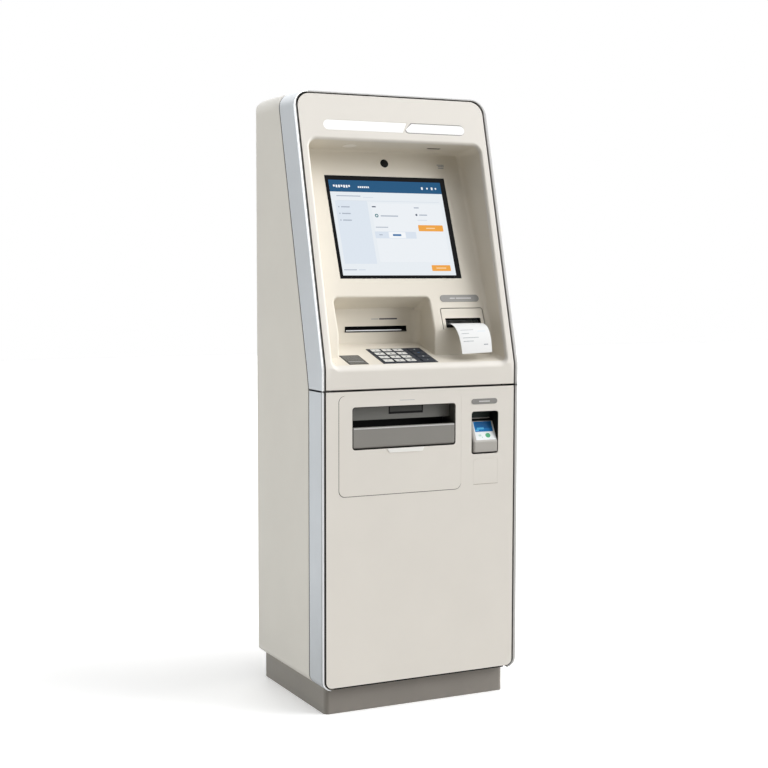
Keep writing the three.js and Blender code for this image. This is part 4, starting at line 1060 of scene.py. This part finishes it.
# ---------- details of the door ----------
def door_details():
    """The reader's label, the mark and tab near the tray, the shutter's plate with painted shadow round it,
    and a painted highlight on the flap.
    """
    pill("reader_label", "door", DOOR_PLANE, 144.6, 222.7, 786, 800.6, ((167, 200),), thick=0.8)
    mark = (-67, -23.5, 804.6, 806.6, 0.8, 0.12)
    tiles("door_mark", "door", [PALE_INK_AND_HIGHLIGHT], "body_paint", DOOR_PLANE, mark)
    face = DOOR_PLANE.row([(-95, 671.8), (-0.5, 671.8), (5, 682.3), (-103, 682.3)], 1.1)
    foot = DOOR_PLANE.row([(-95.5, 671.8), (-1, 671.8), (5.5, 682.3), (-103.5, 682.3)], -0.3)
    tab = Sheet()
    tab.loft([foot, face])
    tab.cap(face)
    tab.make("tray_tab", "door", [TAB_WHITE], smooth=False)
    (left, front, foot), (right, _, _) = box_mm("cash_shutter")
    # The black tile shows as painted shadow round the sides and foot of the dark plate.
    tiles(
        "shutter_inset", "shutter", [BLACK_AND_SHADOW, DARK_GREY_AND_SHADE, SHUTTER_GREY_AND_LIGHT], "black_plastic",
        Plane((0, front, 0)),
        (-83.5, 16.5, 768, 800.5, 0.4, 0.15), (-80, 13, 773.5, 800.4, 0.4, 0.25, 1),
        (left, right, foot - 4, 760, 0.4, 0.1, 2),
    )
    (left, front, _), (right, _, top) = box_mm("tray_flap")
    # A pale strip along the flap's top: a painted highlight.
    edge = (left + 1.5, right - 1.5, top - 4.2, top - 1.6, 0.4, 0.3, 0, 0.5)
    flap = Plane((0, front, 0))
    tiles("flap_highlight", "tray_flap_body", [PALE_INK_AND_HIGHLIGHT], "grey_plastic", flap, edge)


def front_rectangle(node, shrink=(0, 0, 0, 0)):
    """The left, right, low and high of a node seen from the front, each drawn in by its shrink."""
    (x0, _, z0), (x1, _, z1) = box_mm(node)
    left, right, below, above = shrink
    return x0 + left, x1 - right, z0 + below, z1 - above


def gap_shade_fills():
    """Fills just below the surface in the gaps round the module panel and the lock cover: paint-coloured
    where they hide the gaps' shade, and painted shade on the module panel's left and foot and the lock
    cover's foot. And a black ring of painted shadow round the tray's opening."""
    sheet = Sheet()
    thick = 1.5

    def ring(node, inner, outer, radius, deep, finishes):
        """A ring between two rectangles, with finishes for the top and right, the left and the foot."""
        near = outline(*front_rectangle(node, inner), radius, 6)
        far = outline(*front_rectangle(node, outer), radius, 6)
        foot = deep + thick
        corners = ((near, foot), (near, deep), (far, deep), (far, foot), (near, foot))
        rows = [DOOR_PLANE.row(inset(loop), -depth) for loop, depth in corners]
        for n in range(len(near)):
            m = (n + 1) % len(near)
            u, v = (near[n][2] + near[m][2]) / 2, (near[n][3] + near[m][3]) / 2
            side = 2 if v < -0.7 else 1 if u < -0.05 or v < -0.05 else 0
            sheet.loft([[row[n], row[m]] for row in rows], closed=False, finish=finishes[side])

    flush = (0, 0, 0, 0)
    ring("module_panel", flush, (-1.5, -0.28, -1.5, -0.28), 16.7, 0.25, (0, 1, 1))
    ring("lock_cover", flush, (-0.22, -0.22, -1.0, -0.22), 0.01, 0.12, (0, 0, 2))
    above = 23.5  # from the opening up to the top of the housing
    inner, outer = (4.3, 4.3, 6.3, above + 0.3), (2.9, 2.9, 4.9, above - 1.1)
    ring("tray_housing", inner, outer, 8, -0.12, (3, 3, 3))
    sheet.make("gap_shade_fills", "door", [PAINT, GROOVE, BEIGE_DARK, BLACK_AND_SHADOW])


def door_foot_shadow():
    """A black strip under the door, fixed to the cabinet: painted shadow below the door's foot."""
    low = box_mm("lower_door")[0][2] - 4.4
    strip = (-250, 250, low, low + 3.8, 0.6, 0.5, 0, 14)
    tiles("door_foot_shadow", "cabinet", [BLACK_AND_SHADOW], "black_plastic", Plane((0, FRONT + 5, 0)), strip)


def card_reader():
    """The reader in its dark recess: a sloping nose with a pictogram, and the slot behind it."""
    (a, front, foot), (b, _, head) = box_mm("card_reader")
    nose_left, nose_right, nose_round = 150, b - 1, 9
    slope_low, slope_high, slope_back, rear = 688, 738, -199.5, -185
    recess = Sheet()
    mouth = inset(outline(a, b, foot, head, 6, 5))
    rows = [[(u, y, v) for u, v in mouth] for y in (front + 0.6, front + 20, rear)]
    recess.loft(rows)
    recess.cap(rows[-1])
    block = Plane((0, rear - 5, 0))
    left, right = nose_left + 12, b - 5
    tile(recess, block, left, right, slope_high + 9, head - 1, 0.5, 0, 1, 5)
    tile(recess, block, left, right, slope_high + 6, slope_high + 8.6, 0.3, 1, 2, 6)
    recess.make(
        "reader_recess", "door", [BLACK_AND_SHADOW, SLOT_GREEN, READER_GREY],
        replaces=["card_reader"], angle=30,
    )
    profile = [(rear, foot + 2.5), (front + 3, foot + 2.5), (front + 0.9, foot + 3.2), (front, foot + 5)]
    profile += [(front + 2.2 * f**2, slope_low - 4 + 5.5 * f) for f in (0, 0.25, 0.5, 0.75, 1)]
    profile += [(slope_back - 0.8, slope_high - 1.5), (slope_back + 0.8, slope_high), (rear, slope_high)]
    sides = [
        (nose_left + nose_round * (1 - cos(t)), 6 - 6 * sin(t)) for t in turns(0, QUARTER, 6)
    ]
    sides += [(nose_right - 1.2, 0), (nose_right - 0.35, 0.35), (nose_right, 1.2)]
    sections = [[(x, min(y + inward, rear), z) for y, z in profile] for x, inward in sides]
    nose = Sheet()
    nose.loft(sections, closed=False)
    nose.cap(sections[0])
    nose.cap(sections[-1])
    nose.make("reader_nose", "door", [READER_GREY], angle=30)
    reader_sticker(nose_left, nose_right, (front + 2.2, slope_low + 1.5), (slope_back, slope_high))


def reader_sticker(nose_left, nose_right, slope_foot, slope_head):
    """The pictogram on the reader's slope: panels and a dot in blue, white and green."""
    run, rise = slope_head[0] - slope_foot[0], slope_head[1] - slope_foot[1]
    slope = Plane((0, *slope_foot), atan2(run, rise))
    length = hypot(run, rise)
    left, right = nose_left + 11.6, nose_right - 1.6
    wide = right - left
    sheet = Sheet()
    tile(sheet, slope, left, right, 0.6, length - 1, 1.5, 0.35, 0, 0.8)
    for x0, x1, y0, y1, radius, level, finish in (
        (0.04, 0.93, 0.44, 0.97, 1.2, 0.45, 1), (0.10, 0.90, 0.62, 0.93, 6.0, 0.50, 2),
        (0.16, 0.50, 0.56, 0.66, 1.0, 0.55, 3), (0.06, 0.24, 0.48, 0.56, 2.0, 0.55, 3),
        (0.16, 0.30, 0.20, 0.30, 2.0, 0.45, 5), (0.30, 0.36, 0.12, 0.18, 1.0, 0.45, 5),
    ):
        place = (left + x0 * wide, left + x1 * wide, y0 * length, y1 * length)
        tile(sheet, slope, *place, radius, level, finish)
    dot = ellipse(left + 0.62 * wide, 0.24 * length, 7.5, 6.5, 20)
    sheet.cap(slope.row(dot, 0.5), 4)
    finishes = [STICKER_WHITE, STICKER_BLUE, STICKER_DEEP, STICKER_SKY, TEAL, STICKER_MINT]
    sheet.make("reader_sticker", "door", finishes)


def back_screws():
    """Cross-head screws round the back panel's plate."""
    (_, _, foot), (right, face, head) = box_mm("back_panel")
    half, margin = right - 24, 24
    levels = [foot + margin + (head - foot - 2 * margin) * n / 4 for n in range(5)]
    places = [(side * half, z) for side in (-1, 1) for z in levels]
    places += [(x, z) for x in (-75, 75) for z in (levels[0], levels[-1])]
    sheet = Sheet()
    for x, z in places:
        rings = []
        for radius, proud in ((5.4, -0.05), (5.2, 0.22), (4.4, 0.36), (2.5, 0.4)):
            rings.append([(u, face + proud, v) for u, v in ellipse(x, z, radius, radius, 24)])
        sheet.loft(rings)
        sheet.cap(rings[-1])
        # Each cross is a dark cap on the head: painted shade where the recess would be.
        for a, b in ((3.0, 0.55), (0.55, 3.0)):
            sheet.cap([(u, face + 0.45, v) for u, v in rectangle(x - a, x + a, z - b, z + b)], 1)
    sheet.make("back_screws", "cabinet", [PIN, DARK_GREY_AND_SHADE])


# ---------- carried-over nodes, with the width of their rounded edges ----------
FINISHES = (
    (PLINTH_PAINT, {"plinth": 1.2}),
    (PAINT, {"cabinet_shell": 1.2, "back_panel": 0.5, "module_panel": 0.3, "lock_cover": 0.25}),
    (SAFE_PAINT, {"safe_body": 2.5, "safe_door": 1.0}),
    (ZINC, {"base_plate": 0.3, "cash_dispenser": 0.8, "printer_body": 0.2}),
    (PIN, {"fascia_hinge_pin": 0.3, "door_hinge_pin": 0.3, "door_lock": 0.3}),
    (MACHINE, {f"cash_cassette_{n}": 2.0 for n in range(1, 4)}),
    (BLACK_AND_SHADOW, {"mains_inlet": 0.6, "pc_box": 1.0, "fan_rotor": 0.4, "slot_bezel": 0.3}),
    (BLACK_AND_SHADOW, {"monitor_housing": 1.5, "camera_lens": 0.2}),
    (KEYPAD, {"keypad_frame": 0.5} | {f"function_key_{n}": 0.5 for n in range(1, 5)}),
    (GLASS, {"touch_glass": 0.5}), (DARK_GREY_AND_SHADE, {"reader_plate": 0.4}), (GREY, {"tray_flap": 0.8}),
    (SHUTTER_GREY_AND_LIGHT, {"cash_shutter": 0.3}), (PAPER, {"paper_roll": 0.4}),
    (RUBBER, {"platen_roller": 0.3}),
)


# ---------- studio ----------
def by_ray(tree, shown, thrown, output):
    """Shows one shader to the camera and gives the other one to the light thrown on other things."""
    path = tree.nodes.new("ShaderNodeLightPath")
    mix = tree.nodes.new("ShaderNodeMixShader")
    tree.links.new(path.outputs["Is Diffuse Ray"], mix.inputs["Fac"])
    tree.links.new(shown.outputs[0], mix.inputs[1])
    tree.links.new(thrown.outputs[0], mix.inputs[2])
    tree.links.new(mix.outputs["Shader"], tree.nodes[output].inputs["Surface"])


def softlight(name, azimuth, elevation, spread_angle, power, colour=(1, 1, 1)):
    """A distant soft light. Azimuth 0 comes from the front and 90 from the right."""
    light = bpy.data.lights.new(name, "SUN")
    light.angle, light.energy, light.color = radians(spread_angle), power, colour
    a, e = radians(azimuth), radians(elevation)
    place = Vector((sin(a) * cos(e), -cos(a) * cos(e), sin(e)))
    add_object(name, light).rotation_euler = place.to_track_quat("Z", "Y").to_euler()


def studio():
    """A pale floor, a white surround and soft lights."""
    floor_mesh = bpy.data.meshes.new("floor")
    reach = 14
    corners = [(x, y, 0) for x, y in rectangle(-reach, reach, -reach, reach)]
    floor_mesh.from_pydata(corners, [], [[0, 1, 2, 3]])
    floor = add_object("floor", floor_mesh)
    pale = surface(
        "studio_floor", (0.96, 0.96, 0.96), 0.6, grain=40, bump=0.0, mottle=0.0, specular=0.1, glow=0.3,
    )
    tree = pale.node_tree
    warm = add_node(tree, "BsdfDiffuse", {"Color": (0.45, 0.425, 0.38, 1)})
    by_ray(tree, tree.nodes["Principled BSDF"], warm, "Material Output")
    floor_mesh.materials.append(pale)
    world = bpy.data.worlds.new("studio")
    bpy.context.scene.world = world
    world.use_nodes = True
    tree = world.node_tree
    shown = set_inputs(tree.nodes["Background"], {"Color": (1, 1, 1, 1), "Strength": 1.0})
    ambient = add_node(tree, "Background", {"Color": (1, 0.975, 0.93, 1), "Strength": 0.01})
    by_ray(tree, shown, ambient, "World Output")
    softlight("key_light", 60, 15, 45, 2.6)
    softlight("key_upper", 60, 45, 45, 1.25)
    softlight("front_light", 20, 45, 45, 0.5)
    softlight("top_light", -35, 75, 45, 0.66)
    softlight("left_light", -104, 12, 20, 1.42, (0.97, 1, 0.985))
    softlight("rear_light", 165, 30, 60, 0.8)
    bpy.context.scene.view_settings.view_transform = "Standard"
    bpy.context.scene.view_settings.look = "None"


def camera():
    """The photograph's viewing angle: from the left, a little below the machine's top."""
    yaw, pitch, roll = radians(26.33), radians(4.586), radians(0.10)
    lens = bpy.data.cameras.new("camera")
    lens.lens, lens.sensor_width = 69.75, 36
    made = add_object("camera", lens)
    forward = Vector((sin(yaw) * cos(pitch), cos(yaw) * cos(pitch), -sin(pitch)))
    right = Vector((cos(yaw), -sin(yaw), 0))
    up = right.cross(forward)
    right, up = right * cos(roll) + up * sin(roll), up * cos(roll) - right * sin(roll)
    turn = Matrix((right, up, -forward)).transposed().to_4x4()
    made.matrix_world = Matrix.Translation((-1.7865, -3.6105, 1.1516)) @ turn
    bpy.context.scene.camera = made


camera()
studio()
for finish, widths in FINISHES:
    for node_name, width in widths.items():
        dress(node_name, finish, width)
# The door's outer edge faces, in the gaps, get painted shade.
dress("lower_door", PAINT, 0.3, GAP_SHADE, at_outline)
# The housing's faces turned to the left get a lighter grey: painted light.
dress("tray_housing", BLACK_AND_SHADOW, 0.4, SHUTTER_GREY_AND_LIGHT, lambda face, low, high: face.normal.x < -0.9)
# The shelf's front faces, seen through the seam, get painted shade.
dress("mid_shelf", ZINC, 0.3, GAP_SHADE, lambda face, low, high: face.center.y < low.y + 0.035)
for n in range(1, 13):
    dress(f"key_{n}", KEY, 0.8, KEYPAD, key_side)
fascia_front()
sign_lenses()
alcove_liner()
cash_pocket()
trim("upper_trim_band", "upper_trim", SEAM + 1.6, True)
trim("lower_trim_band", "lower_trim", 70, False)
display()
fascia_details()
ceiling_details()
receipt_slip()
slot_fronts()
keypad_marks()
door_details()
gap_shade_fills()
door_foot_shadow()
card_reader()
back_screws()

bpy.context.view_layer.update()
